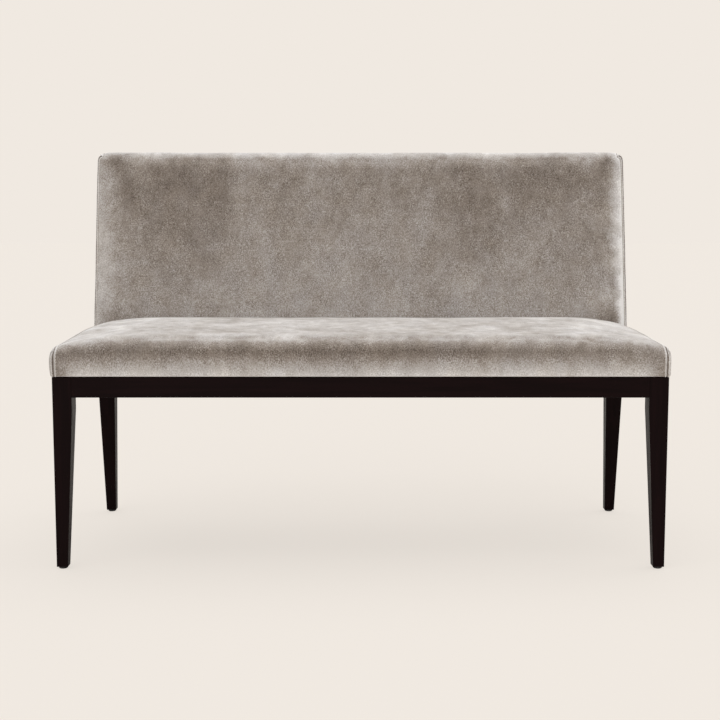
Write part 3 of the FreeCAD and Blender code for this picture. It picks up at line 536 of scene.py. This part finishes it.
def swell(name, points, quads, pins, form):
    # blow a closed cover up a little over its padding, and keep the result
    piece = makeObject(name + "Swell", points, quads)
    group = piece.vertex_groups.new(name="pins")
    for weight in np.unique(pins):
        if weight > 0:
            group.add([int(i) for i in np.flatnonzero(pins == weight)], float(weight), "REPLACE")
    cloth = piece.modifiers.new("swell", "CLOTH")
    settings = cloth.settings
    settings.quality = 6
    settings.mass = 0.3
    settings.tension_stiffness = settings.compression_stiffness = 40.0
    settings.shear_stiffness = 12.0
    settings.bending_stiffness = 2.0
    settings.use_pressure = True
    settings.uniform_pressure_force = form["pressure"]
    settings.effector_weights.gravity = 0.0
    settings.vertex_group_mass = "pins"
    cloth.collision_settings.use_collision = False
    cloth.point_cache.frame_start = 1
    cloth.point_cache.frame_end = form["frames"]
    for number in range(1, form["frames"] + 1):
        scene.frame_set(number)
    outwards = outwardNormals(points, quads)
    mesh = evaluatedMesh(piece)
    swollen = readPoints(mesh)
    bpy.data.meshes.remove(mesh)
    bpy.data.objects.remove(piece)
    scene.frame_set(1)
    rise = np.einsum("ij,ij->i", swollen - points, outwards)
    limit = form["cap"] * np.tanh(np.maximum(rise, 0.0) / form["cap"])  # the foam lets nothing sink
    print(name, "swelled by up to", round(float(rise.max()) / mm, 1), "mm, kept",
          round(float(limit.max()) / mm, 1), "mm")
    return points + outwards * limit[:, None]


def wander(points, scale, amount, finer=2.7, share=0.5):
    # slow noise about zero, with a share of a finer one
    return np.array([noise.noise(Vector(p) * scale) + share * noise.noise(Vector(p) * scale * finer)
                     for p in points]) * amount


def uneven(points, quads, held, amount, scale=9.0):
    # hand-laid padding: slow rises and falls, none where the cover is fixed
    lumps = wander(points, scale, amount) * (1.0 - held)
    return points + outwardNormals(points, quads) * lumps[:, None]


def sideOf(place, limit, last):
    # -1 or 1 on the side panels, which start one grid line outside their seams, under the outer ridge
    return np.where(place[:, 0] < limit, -1, np.where(place[:, 0] > last - limit, 1, 0))


seatForm = {
    "half": 658.5 * mm, "front": -302.8 * mm, "rear": 105.0 * mm, "edge": 79.0 * mm, "rise": 13.0 * mm,
    # rounds of the corners, front and rear, and of the upper edges: sides, front, rear and how far down
    "corner": (14.0 * mm, 8.0 * mm), "edges": (11.0 * mm, 34.0 * mm, 8.0 * mm, 30.0 * mm), "heel": 4.0 * mm,
    "crownAt": 0.8, "sideDrop": 22.0 * mm, "sideReach": 40.0 * mm, "sideRise": 0.7,
    "lipEnds": (20.0 * mm, 4.0 * mm), "lipRise": 1.0 * mm,      # flat rim of the underside
    "bulgeLeft": 2.4 * mm, "bulgeRight": 0.8 * mm, "bulgeReach": 14.0 * mm,
    "stepX": 10.0 * mm, "step": 8.0 * mm, "seamLine": 4, "seamHold": 0.55, "rearHold": 0.9,
    "pressure": 1.6, "cap": 6.0 * mm, "frames": 14, "unevenness": 0.7 * mm, "fill": 0.8,
    # painted light and shade: how much lighter, with pairs of where that starts and how softly
    "paintedLightShade": {
        # heights and front: painted shade in a band under the front round, painted light lower down the front
        "heights": (418.0, 450.0, 468.0, 475.0, 485.0, 491.0, 495.0, 500.0),    # mm up the front
        "front": (0.62, 0.18, -0.09, -0.14, -0.19, -0.26, -0.26, -0.03),
        "frontReach": (30.0 * mm, 30.0 * mm),
        "ragged": (30.0, 5.0 * mm), "raggedBelow": (490.0 * mm, 20.0 * mm),     # scale and amount of a wander
        # right: painted light over the upper right of the front
        "right": 0.14, "rightFrom": (430.0 * mm, 120.0 * mm), "rightAbove": (452.0 * mm, 15.0 * mm),
        "ends": (0.07, -0.12), "endHeights": (450.0, 472.0), "endReach": (66.0 * mm, 46.0 * mm),
        "top": 0.05, "middle": -0.13, "middleReach": (600.0 * mm, 220.0 * mm),
        "patch": -0.08, "patchAt": 390.0 * mm, "patchReach": 150.0 * mm,
    },
}


def seatPaintedShading(form, points):
    x, y, z = points.T
    paintedLightShade = form["paintedLightShade"]
    height = z + wander(points, *paintedLightShade["ragged"]) * within(z, *paintedLightShade["raggedBelow"])
    # painted shade under the front round, painted light lower down the front
    paintedLevel = np.interp(height / mm, paintedLightShade["heights"], paintedLightShade["front"])
    # painted light on the upper right of the front
    paintedLevel += paintedLightShade["right"] * beyond(x, *paintedLightShade["rightFrom"]) * beyond(height, *paintedLightShade["rightAbove"])
    atEnds = within(form["half"] - abs(x), *paintedLightShade["endReach"])       # the front's tones run flatter towards the ends
    paintedLevel += atEnds * (np.interp(height / mm, paintedLightShade["endHeights"], paintedLightShade["ends"]) - paintedLevel)
    topTone = paintedLightShade["top"] + paintedLightShade["middle"] * within(abs(x), *paintedLightShade["middleReach"])      # darker towards the middle
    topTone += paintedLightShade["patch"] * np.exp(-((x - paintedLightShade["patchAt"]) / paintedLightShade["patchReach"]) ** 2)
    atFront = within(y - form["front"], *paintedLightShade["frontReach"])
    return atFront * paintedLevel + (1.0 - atFront) * topTone


def buildSeat(form):
    linesX = edgedLines(-form["half"], form["half"], form["stepX"], nearEdge)
    linesA = edgedLines(form["front"], form["rear"], form["step"], nearRound)
    linesH = edgedLines(0.0, form["edge"], form["step"], nearHeel, nearRound)
    points, quads, place, index = latticeBox(linesX, linesA, linesH)
    low = np.array([-form["half"], form["front"], 0.0])
    high = np.array([form["half"], form["rear"], form["edge"]])
    x, a, h = roundBlock(points, low, high, form["corner"], form["edges"], form["heel"]).T
    depth = (a - form["front"]) / (form["rear"] - form["front"])
    fromSide = form["half"] - abs(x)
    pulled = np.exp(-fromSide / form["sideReach"])
    crown = form["rise"] * smoothStep(depth / form["crownAt"]) * (1.0 - pulled * (1.0 - form["sideRise"]))
    crown = crown - form["sideDrop"] * pulled
    inside = np.minimum(fromSide, np.minimum(a - form["front"], form["rear"] - a))
    lift = form["lipRise"] * beyond(inside, *form["lipEnds"]) * (place[:, 2] == 0)
    z = railTop + gap + h + crown * h / form["edge"] + lift
    y = a + depth * (z - railTop) * math.tan(lean)
    full = np.sin(math.pi * np.clip(h / form["edge"], 0.0, 1.0)) * np.exp(-fromSide / form["bulgeReach"])
    x = x + np.where(x < 0.0, -form["bulgeLeft"], form["bulgeRight"]) * full
    rest = np.stack([x, y, z], -1)
    seams = (form["seamLine"], len(linesX) - 1 - form["seamLine"])
    pins = np.zeros(len(rest))
    pins[place[:, 1] >= len(linesA) - 2] = form["rearHold"]
    pins[np.isin(place[:, 0], seams)] = form["seamHold"]
    pins[place[:, 2] == 0] = 1.0
    final = uneven(swell("seat", rest, quads, pins, form), quads, pins, form["unevenness"])
    routes = [np.concatenate([index[i][0, :], index[i][1:, -1]]) for i in seams]
    return {"points": final, "quads": quads, "paintedShading": seatPaintedShading(form, final), "routes": routes,
            "side": sideOf(place, form["seamLine"], len(linesX) - 1), "hidden": place[:, 2] == 0}


backForm = {
    "half": 655.3 * mm, "front": 52.0 * mm, "rear": -37.2 * mm, "height": 503.0 * mm,
    # rounds of the corners, foot and top, and of the front edges: sides, foot, top and how far back
    "corner": (5.0 * mm, 27.0 * mm), "edges": (9.0 * mm, 6.0 * mm, 32.0 * mm, 22.0 * mm), "heel": 2.0 * mm,
    "sideDrop": 11.0 * mm, "sideReach": 22.0 * mm, "topDrop": 3.0 * mm, "topReach": 22.0 * mm,
    "shoulder": 2.2 * mm, "shoulderReach": 60.0 * mm,
    "stepX": 10.0 * mm, "step": 8.0 * mm, "seamLine": 1, "topLine": 3, "seamHold": 0.55,
    "pressure": 1.6, "cap": 5.0 * mm, "frames": 14, "unevenness": 0.8 * mm, "fill": 0.8,
    "paintedLightShade": {
        "foot": 0.26, "upwards": -0.31, "sides": -0.06, "sidesFrom": (250.0 * mm, 200.0 * mm),
        "raggedRight": (40.0, 11.0 * mm), "raggedLeft": (28.0, 14.0 * mm), "raggedTop": (24.0, 7.0 * mm),
        # right, rightEdge, left, top and rim: painted highlights down the edges and along the top round
        "right": 0.47, "rightReach": 33.0 * mm, "rightSoft": 24.0 * mm,
        "rightWider": 12.0 * mm, "widerFrom": (560.0 * mm, 120.0 * mm),
        "rightEdge": 0.32, "rightEdgeReach": (24.0 * mm, 16.0 * mm),
        "left": 0.19, "leftReach": (58.0 * mm, 24.0 * mm),
        "top": 0.13, "topFrom": (-31.0 * mm, 22.0 * mm),
        "rim": 0.12, "rimFrom": (-25.0 * mm, 9.0 * mm), "rimLeft": (22.0 * mm, 24.0 * mm),
        # painted shade and light spots at the corners, painted shadow where the back meets the seat: across,
        # height and their reaches in mm, then how much lighter
        "paintedSpots": ((-618.0, 505.0, 26.0, 34.0, -0.34), (618.0, 505.0, 22.0, 32.0, -0.38),
                  (-612.0, 905.0, 24.0, 22.0, -0.38), (-560.0, 820.0, 40.0, 30.0, -0.06),
                  (618.0, 893.0, 18.0, 18.0, -0.38), (562.0, 892.0, 46.0, 26.0, 0.13)),
    },
}


def backPaintedShading(form, points):
    x, _, z = points.T
    paintedLightShade = form["paintedLightShade"]
    paintedLevel = paintedLightShade["foot"] + paintedLightShade["upwards"] * smoothStep((z - railTop) / form["height"])
    paintedLevel += paintedLightShade["sides"] * beyond(abs(x), *paintedLightShade["sidesFrom"])
    fromRight = form["half"] - x + wander(points, *paintedLightShade["raggedRight"])
    fromLeft = form["half"] + x + wander(points, *paintedLightShade["raggedLeft"])
    bandReach = paintedLightShade["rightReach"] + paintedLightShade["rightWider"] * beyond(z, *paintedLightShade["widerFrom"])
    # painted highlights in bands down the right and left edges
    paintedLevel += paintedLightShade["right"] * within(fromRight, bandReach, paintedLightShade["rightSoft"])
    paintedLevel += paintedLightShade["left"] * within(fromLeft, *paintedLightShade["leftReach"])
    paintedLevel += paintedLightShade["rightEdge"] * within(fromRight, *paintedLightShade["rightEdgeReach"])
    fromTop = z - reclined(0.0, form["height"], -form["front"])[2] + wander(points, *paintedLightShade["raggedTop"])
    # painted highlight along the top round
    paintedLevel += paintedLightShade["top"] * beyond(fromTop, *paintedLightShade["topFrom"])
    paintedLevel += paintedLightShade["rim"] * beyond(fromTop, *paintedLightShade["rimFrom"]) * beyond(fromLeft, *paintedLightShade["rimLeft"])
    # painted shade at the corners, painted shadow where the back meets the seat, one painted light spot
    for across, up, wide, tall, amount in paintedLightShade["paintedSpots"]:
        paintedLevel += amount * np.exp(-((x / mm - across) / wide) ** 2 - ((z / mm - up) / tall) ** 2)
    return paintedLevel


def buildBack(form):
    linesX = edgedLines(-form["half"], form["half"], form["stepX"], nearEdge)
    linesH = edgedLines(0.0, form["height"], form["step"], nearHeel, nearRound)
    linesW = edgedLines(form["rear"], form["front"], form["step"], nearHeel, nearRound)
    points, quads, place, index = latticeBox(linesX, linesH, linesW)
    low = np.array([-form["half"], 0.0, form["rear"]])
    high = np.array([form["half"], form["height"], form["front"]])
    x, h, w = roundBlock(points, low, high, form["corner"], form["edges"], form["heel"]).T
    fromSide, fromTop = form["half"] - abs(x), form["height"] - h
    dip = form["sideDrop"] * np.exp(-fromSide / form["sideReach"])
    dip = dip + form["topDrop"] * np.exp(-fromTop / form["topReach"])
    out = -(w - dip * (w - form["rear"]) / (form["front"] - form["rear"]))
    foot = out * math.tan(lean) + gap
    # keeps the top level to its corners
    square = form["shoulder"] * np.exp(-fromSide / form["shoulderReach"])
    along = foot + h / form["height"] * (form["height"] + square - foot)
    rest = reclined(x, along, out)
    seams = (form["seamLine"], len(linesX) - 1 - form["seamLine"])
    pins = np.zeros(len(rest))
    pins[np.isin(place[:, 0], seams)] = form["seamHold"]
    hidden = (place[:, 2] == 0) | (place[:, 1] == 0)
    pins[hidden] = 1.0
    final = uneven(swell("back", rest, quads, pins, form), quads, pins, form["unevenness"])
    routes = []
    for shell in (index, index[::-1]):
        upwards = shell[form["seamLine"], :, -1]
        corner = shell[form["seamLine"] + 1:form["topLine"], -1, -1]
        routes.append(np.concatenate([upwards, corner, shell[form["topLine"], -1, ::-1]]))
    limit = np.where(place[:, 1] == len(linesH) - 1, form["topLine"], form["seamLine"])
    return {"points": final, "quads": quads, "paintedShading": backPaintedShading(form, final), "routes": routes,
            "side": sideOf(place, limit, len(linesX) - 1), "hidden": hidden}


seat = buildSeat(seatForm)
back = buildBack(backForm)
print("padded forms:", len(seat["points"]), len(back["points"]), "points")


def finishCover(name, build, replaced):
    piece = makeObject(name, build["points"], build["quads"], velvet)
    # painted light and shade for the velvet's colour
    setFloats(piece.data, "paintedShading", build["paintedShading"])
    addDivide(piece)
    keepModified(piece)
    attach(piece, "root")
    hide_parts(*replaced)
    return piece


seatCover = finishCover("seatCover", seat, ("seat_cover", "seat_wadding", "seat_foam"))
backCover = finishCover("backCover", back, ("back_cover", "back_wadding", "back_foam"))
coverSides = [(part, build, cover, sideName, side)
              for part, build, cover in (("seat", seat, seatCover), ("back", back, backCover))
              for sideName, side in (("Left", -1), ("Right", 1))]


# side panels: thin shells over the ends, from the seam outwards

# with the sizes of the cut cloth in metres
sidePanelLook = {"thickness": 1.2 * mm, "paintedShading": 0.06, "seatCut": (0.424, 0.08), "backCut": (0.51, 0.094)}


def sidePanel(name, build, side, replaced):
    outer = (build["side"] == side)[build["quads"]].all(1)
    keep = outer & ~build["hidden"][build["quads"]].all(1)
    quads = build["quads"][keep]
    used, compact = np.unique(quads, return_inverse=True)
    piece = makeObject(name, build["points"][used], compact.reshape(-1, 4), velvet)
    setFloats(piece.data, "paintedShading", np.full(len(used), sidePanelLook["paintedShading"]))
    addWall(piece, sidePanelLook["thickness"], 1.0)
    addDivide(piece)
    keepModified(piece)
    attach(piece, "root")
    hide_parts(replaced)


for part, build, cover, sideName, side in coverSides:
    replaced = part + "_side_panel_" + sideName.lower()
    sidePanel(part + "Side" + sideName, build, side, replaced)
print("covers and side panels made")


# seams: two ridges with a groove between, and a row of stitches on each

seamLook = {
    # the section's points: how far across and how high in mm, and the painted shading there: painted
    # highlight on the ridges, painted shade in the groove
    "across": (-7.4, -6.3, -5.4, -4.4, -3.4, -2.5, -1.6, -0.8, 0.0, 0.8, 1.6, 2.5, 3.4, 4.4, 5.4, 6.3, 7.4),
    "lift": (-0.4, 0.15, 0.3, 0.9, 1.5, 1.4, 0.7, 0.1, -0.2, 0.1, 0.7, 1.4, 1.5, 0.9, 0.3, 0.15, -0.4),
    "paintedShading": (0.0, -0.1, 0.0, 0.4, 0.55, 0.45, 0.0, -0.55, -0.7, -0.55, 0.0, 0.45, 0.55, 0.4, 0.0, -0.1, 0.0),
    "under": 1.6 * mm, "step": 1.5 * mm, "pitch": 6.0 * mm, "pucker": 0.13, "smoothing": 24,
    "panelFrom": (0.6, 1.6),        # where it steps up onto the side panel
    "stitchAt": (2, 14), "stitchLift": 0.45 * mm, "stitchLength": 4.6 * mm, "stitchWidth": 1.2 * mm,
    "stitchSegments": 8, "stitchRings": 5,
}


def evenly(route, step, smoothing):
    length = np.concatenate([[0.0], np.cumsum(np.linalg.norm(np.diff(route, axis=0), axis=1))])
    paintedSpots = np.arange(0.0, length[-1], step)
    line = np.stack([np.interp(paintedSpots, length, route[:, i]) for i in range(3)], -1)
    for _ in range(smoothing):
        line[1:-1] = 0.5 * line[1:-1] + 0.25 * (line[:-2] + line[2:])
    return line, paintedSpots


def toucher(cover):
    # nearest place on a cover, with its smooth outward direction
    mesh = cover.data
    points = [corner.co.copy() for corner in mesh.vertices]
    normals = [corner.normal.copy() for corner in mesh.vertices]
    faces = [tuple(face.vertices) for face in mesh.polygons]
    tree = BVHTree.FromPolygons(points, faces)

    def touch(spot):
        hit, _, face, _ = tree.find_nearest(spot)
        total = Vector()
        for i in faces[face]:
            total += normals[i] / ((points[i] - hit).length + 0.01 * mm)    # nearer corners tell more
        return hit, total.normalized()
    return touch


def crossSection(touch, spot, across, offsets):
    # walk over the cover both ways from the seam's line
    middle = offsets.index(0.0)
    start = touch(spot)
    found = {middle: start}
    for way in (-1, 1):
        here, out = start
        ahead = across * way
        i = middle + way
        while 0 <= i < len(offsets):
            ahead = (ahead - out * ahead.dot(out)).normalized()
            here, out = touch(here + ahead * abs(offsets[i] - offsets[i - way]) * mm)
            found[i] = (here, out)
            i += way
    return [found[i] for i in range(len(offsets))]


def turnOutwards(piece):
    shell = bmesh.new()
    shell.from_mesh(piece.data)
    bmesh.ops.recalc_face_normals(shell, faces=shell.faces)
    shell.to_mesh(piece.data)
    shell.free()


def buildSeam(name, build, side, cover, look):
    touch = toucher(cover)
    line = build["routes"][0 if side < 0 else 1]
    corners = np.array([cover.data.vertices[i].co for i in line])
    route, paintedSpots = evenly(corners, look["step"], look["smoothing"])
    offsets = look["across"]
    width = len(offsets) + 2
    points, faces, paintedShading, spots, along = [], [], [], [], []
    each = int(round(look["pitch"] / look["step"]))
    for row, mark in enumerate(paintedSpots):
        ahead = Vector(route[min(row + 1, len(route) - 1)] - route[max(row - 1, 0)]).normalized()
        _, out = touch(Vector(route[row]))
        across = ahead.cross(out).normalized()
        across = across if across.x * side > 0 else -across      # the last offsets lie on the side panel
        section = crossSection(touch, Vector(route[row]), across, offsets)
        swellHere = 1.0 + look["pucker"] * math.cos(2.0 * math.pi * mark / look["pitch"])
        for i, (hit, normal) in enumerate(section):
            step = sidePanelLook["thickness"] * beyond(offsets[i], *look["panelFrom"])
            points.append(hit + normal * (look["lift"][i] * swellHere * mm + step))
            if i in look["stitchAt"] and row % each == 0 and 0 < row < len(paintedSpots) - each:
                spots.append(points[-1] + normal * look["stitchLift"])
                along.append(ahead)
        for hit, normal in (section[-2], section[1]):
            points.append(hit - normal * look["under"])
        # painted highlight on the ridges, painted shade in the groove
        paintedShading.extend(look["paintedShading"] + (0.0, 0.0))
    count = len(paintedSpots)
    for i in range(count - 1):
        for j in range(width):
            a, b = i * width + j, i * width + (j + 1) % width
            faces.append((a, b, b + width, a + width))
    faces.append(tuple(range(width))[::-1])
    faces.append(tuple((count - 1) * width + j for j in range(width)))
    piece = makeObject(name, points, faces, velvet)
    setFloats(piece.data, "paintedShading", paintedShading)
    turnOutwards(piece)
    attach(piece, "root")
    return spots, along


def socketId(tree, label):
    return next(item.identifier for item in tree.interface.items_tree if item.name == label)


def buildStitchTree(look):
    # a ball of thread at each point, drawn out along the seam
    tree = bpy.data.node_groups.new("stitchRow", "GeometryNodeTree")
    tree.interface.new_socket("Geometry", in_out="INPUT", socket_type="NodeSocketGeometry")
    for label in ("Length", "Width"):
        tree.interface.new_socket(label, in_out="INPUT", socket_type="NodeSocketFloat")
    tree.interface.new_socket("Material", in_out="INPUT", socket_type="NodeSocketMaterial")
    tree.interface.new_socket("Geometry", in_out="OUTPUT", socket_type="NodeSocketGeometry")
    make, link = tree.nodes.new, tree.links.new
    given, result = make("NodeGroupInput"), make("NodeGroupOutput")
    thread = make("GeometryNodeMeshUVSphere")
    thread.inputs["Segments"].default_value = look["stitchSegments"]
    thread.inputs["Rings"].default_value = look["stitchRings"]
    thread.inputs["Radius"].default_value = 0.5     # one across, then scaled
    size = make("ShaderNodeCombineXYZ")
    for i, label in enumerate(("Width", "Width", "Length")):
        link(given.outputs[label], size.inputs[i])
    turnZ = make("FunctionNodeAlignRotationToVector")
    turnZ.axis = "Z"
    along = make("GeometryNodeInputNamedAttribute")
    along.data_type = "FLOAT_VECTOR"
    along.inputs["Name"].default_value = "along"
    link(along.outputs[0], turnZ.inputs["Vector"])
    toPoints = make("GeometryNodeMeshToPoints")
    link(given.outputs["Geometry"], toPoints.inputs["Mesh"])
    scatter = make("GeometryNodeInstanceOnPoints")
    link(toPoints.outputs[0], scatter.inputs["Points"])
    link(thread.outputs["Mesh"], scatter.inputs["Instance"])
    link(turnZ.outputs[0], scatter.inputs["Rotation"])
    link(size.outputs[0], scatter.inputs["Scale"])
    real = make("GeometryNodeRealizeInstances")
    link(scatter.outputs[0], real.inputs[0])
    smooth = make("GeometryNodeSetShadeSmooth")
    link(real.outputs[0], smooth.inputs[0])
    paint = make("GeometryNodeSetMaterial")
    link(smooth.outputs[0], paint.inputs["Geometry"])
    link(given.outputs["Material"], paint.inputs["Material"])
    link(paint.outputs[0], result.inputs[0])
    return tree


stitchTree = buildStitchTree(seamLook)


def buildStitches(name, spots, along, look):
    piece = makeObject(name, spots, [])
    attribute = piece.data.attributes.new("along", "FLOAT_VECTOR", "POINT")
    attribute.data.foreach_set("vector", np.array(along, np.float32).ravel())
    rows = piece.modifiers.new("rows", "NODES")
    rows.node_group = stitchTree
    rows[socketId(stitchTree, "Length")] = look["stitchLength"]
    rows[socketId(stitchTree, "Width")] = look["stitchWidth"]
    rows[socketId(stitchTree, "Material")] = plains["thread"]
    keepModified(piece)
    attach(piece, "root")


for part, build, cover, sideName, side in coverSides:
    spots, along = buildSeam(part + "Seam" + sideName, build, side, cover, seamLook)
    buildStitches(part + "Stitches" + sideName, spots, along, seamLook)
print("seams sewn")


# outside back

outsideBackForm = {"half": 649.0 * mm, "low": 9.0 * mm, "high": 494.0 * mm, "out": 37.5 * mm,
                   "crown": 1.0 * mm, "rim": 6.0 * mm, "step": 24.0 * mm, "thickness": 1.2 * mm,
                   "near": np.array([0.0, 1.5, 3.5, 6.0, 12.0]) * mm}


def buildOutsideBack(form):
    linesX = edgedLines(-form["half"], form["half"], form["step"], form["near"])
    linesU = edgedLines(form["low"], form["high"], form["step"], form["near"])
    x, u = np.meshgrid(linesX, linesU, indexing="ij")
    inside = np.minimum(form["half"] - abs(x), np.minimum(u - form["low"], form["high"] - u))
    turned = np.sqrt(1.0 - (1.0 - np.clip(inside / form["rim"], 0.0, 1.0)) ** 2)
    out = form["out"] + form["crown"] * turned
    piece = gridSheet("outsideBack", reclined(x, u, out), velvet)
    addWall(piece, form["thickness"], 0.0)
    addDivide(piece)
    keepModified(piece)
    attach(piece, "root")
    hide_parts("outside_back_panel")


buildOutsideBack(outsideBackForm)


# dust cover

dustForm = {"half": 636.0 * mm, "front": -281.0 * mm, "rear": 81.0 * mm, "height": 418.55 * mm,
            "step": 20.0 * mm, "thickness": 0.6 * mm}


def buildDustCover(form):
    linesX = evenLines(-form["half"], form["half"], form["step"])
    linesY = evenLines(form["front"], form["rear"], form["step"])
    x, y = np.meshgrid(linesX, linesY, indexing="ij")
    z = np.full_like(x, form["height"])
    piece = gridSheet("dustCover", np.stack([x, y, z], -1), cloths["dustCloth"])
    addWall(piece, form["thickness"], 0.0)
    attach(piece, "root")
    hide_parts("seat_dust_cover")


buildDustCover(dustForm)


# finishes of the CAD nodes that show, timbers by the way their grain runs

def pair(stem):
    return stem + "_left", stem + "_right"


finishes = (
    (timbers["stained", "z"], pair("front_leg") + pair("rear_post")),
    (timbers["stained", "x"], ("front_apron", "rear_apron")),
    (timbers["stained", "y"], pair("side_apron")),
    (timbers["raw", "x"], ("seat_frame_front_rail", "seat_frame_rear_rail", "back_crest_rail",
                           "back_bottom_rail", "base_dowels")),
    (timbers["raw", "x"], pair("corner_block_front") + pair("corner_block_rear")),
    (timbers["raw", "y"], pair("cross_rail") + pair("seat_frame_end") + pair("seat_frame_strut")),
    (timbers["raw", "z"], pair("back_strut") + ("back_dowels",)),
    (plains["glidePlastic"], pair("glide_front") + pair("glide_rear")),
    (plains["zincSteel"], ("corner_block_screws", "seat_screws", "glide_nails")),
    (plains["hardboard"], ("outside_back_board",)),
    (cloths["webbing"], ("seat_webbing_cross", "seat_webbing_long", "back_webbing")),
    (cloths["hessian"], ("seat_hessian", "back_hessian")),
)
for material, names in finishes:
    for name in names:
        slots = nodes[name].data.materials
        slots.clear()
        slots.append(material)
print("finishes given to the frame")


# studio

studio = {
    "backdrop": linear(240, 233, 225), "ambient": 0.4, "ambientTint": (1.0, 0.985, 0.965, 1.0),
    "floorHalf": 40.0, "floorAt": -0.3 * mm, "floorRoughness": 0.95, "floorLight": 1.166, "shadowShare": 0.22,
    "camera": (-0.001, -2.9416, 0.7462), "pitch": 6.3126, "lens": 62.826, "sensor": 36.0, "sight": 200.0,
}


def mixShaders(tree, factor, first, second):
    mix = tree.nodes.new("ShaderNodeMixShader")
    for socket, source in zip(mix.inputs, (factor, first, second)):
        tree.links.new(source, socket)
    return mix.outputs[0]


def buildWorld(look):
    # the backdrop as the camera and reflections see it, and the light that it gives
    scene.world = world = bpy.data.worlds.new("studioWorld")
    world.use_nodes = True
    tree = world.node_tree
    tree.nodes.clear()
    seen = tree.nodes.new("ShaderNodeBackground")
    seen.inputs["Color"].default_value = look["backdrop"]
    light = tree.nodes.new("ShaderNodeBackground")
    light.inputs["Color"].default_value = look["ambientTint"]
    light.inputs["Strength"].default_value = look["ambient"]
    ray = tree.nodes.new("ShaderNodeLightPath")
    shown = mathNode(tree, "ADD", ray.outputs["Is Camera Ray"], ray.outputs["Is Glossy Ray"])
    shown = mathNode(tree, "ADD", shown, ray.outputs["Is Transmission Ray"], clamp=True)
    out = tree.nodes.new("ShaderNodeOutputWorld")
    tree.links.new(mixShaders(tree, shown, light.outputs[0], seen.outputs[0]), out.inputs[0])


def buildFloor(look):
    half, at = look["floorHalf"], look["floorAt"]
    corners = [(-half, -half, at), (half, -half, at), (half, half, at), (-half, half, at)]
    floor = makeObject("floor", corners, [(0, 1, 2, 3)], smooth=False)
    material, tree, shader, _ = newMaterial("paleFloor")
    shade = tuple(value / look["floorLight"] for value in look["backdrop"][:3])
    setShader(shader, Base_Color=(*shade, 1.0), Roughness=look["floorRoughness"], Specular_IOR_Level=0.0)
    bright = tree.nodes.new("ShaderNodeEmission")       # as bright as the backdrop
    bright.inputs["Color"].default_value = look["backdrop"]
    ray = tree.nodes.new("ShaderNodeLightPath")
    share = mathNode(tree, "MULTIPLY", ray.outputs["Is Camera Ray"], 1.0 - look["shadowShare"])
    above = mixShaders(tree, share, shader.outputs[0], bright.outputs[0])
    below = tree.nodes.new("ShaderNodeNewGeometry").outputs["Backfacing"]
    clear = tree.nodes.new("ShaderNodeBsdfTransparent")         # seen from below it is left out
    surface = mixShaders(tree, below, above, clear.outputs[0])
    tree.links.new(surface, tree.nodes["Material Output"].inputs["Surface"])
    floor.data.materials.append(material)


def buildCamera(look):
    eye = bpy.data.cameras.new("camera")
    eye.lens, eye.sensor_width, eye.clip_end = look["lens"], look["sensor"], look["sight"]
    camera = bpy.data.objects.new("camera", eye)
    camera.location = look["camera"]
    camera.rotation_euler = (math.radians(90.0 - look["pitch"]), 0.0, 0.0)
    scene.collection.objects.link(camera)
    scene.camera = camera


lampSet = {
    "topLamp": {"from": (0.0, 0.12, 1.0), "angle": 70.0, "power": 1.5},
    "frontLamp": {"from": (-0.35, -1.0, 0.75), "angle": 80.0, "power": 1.1},
    "rightLamp": {"from": (1.0, 0.25, 0.45), "angle": 50.0, "power": 0.9},
}
lampsAway = 3.0


def buildLights(lamps):
    for name, look in lamps.items():
        lamp = bpy.data.lights.new(name, "SUN")
        lamp.angle = math.radians(look["angle"])
        lamp.energy = look["power"]
        holder = bpy.data.objects.new(name, lamp)
        holder.rotation_euler = Vector(look["from"]).to_track_quat("Z", "Y").to_euler()
        holder.location = Vector(look["from"]).normalized() * lampsAway
        scene.collection.objects.link(holder)


buildWorld(studio)
buildFloor(studio)
buildCamera(studio)
buildLights(lampSet)
scene.view_settings.view_transform = "Standard"
print("studio ready")
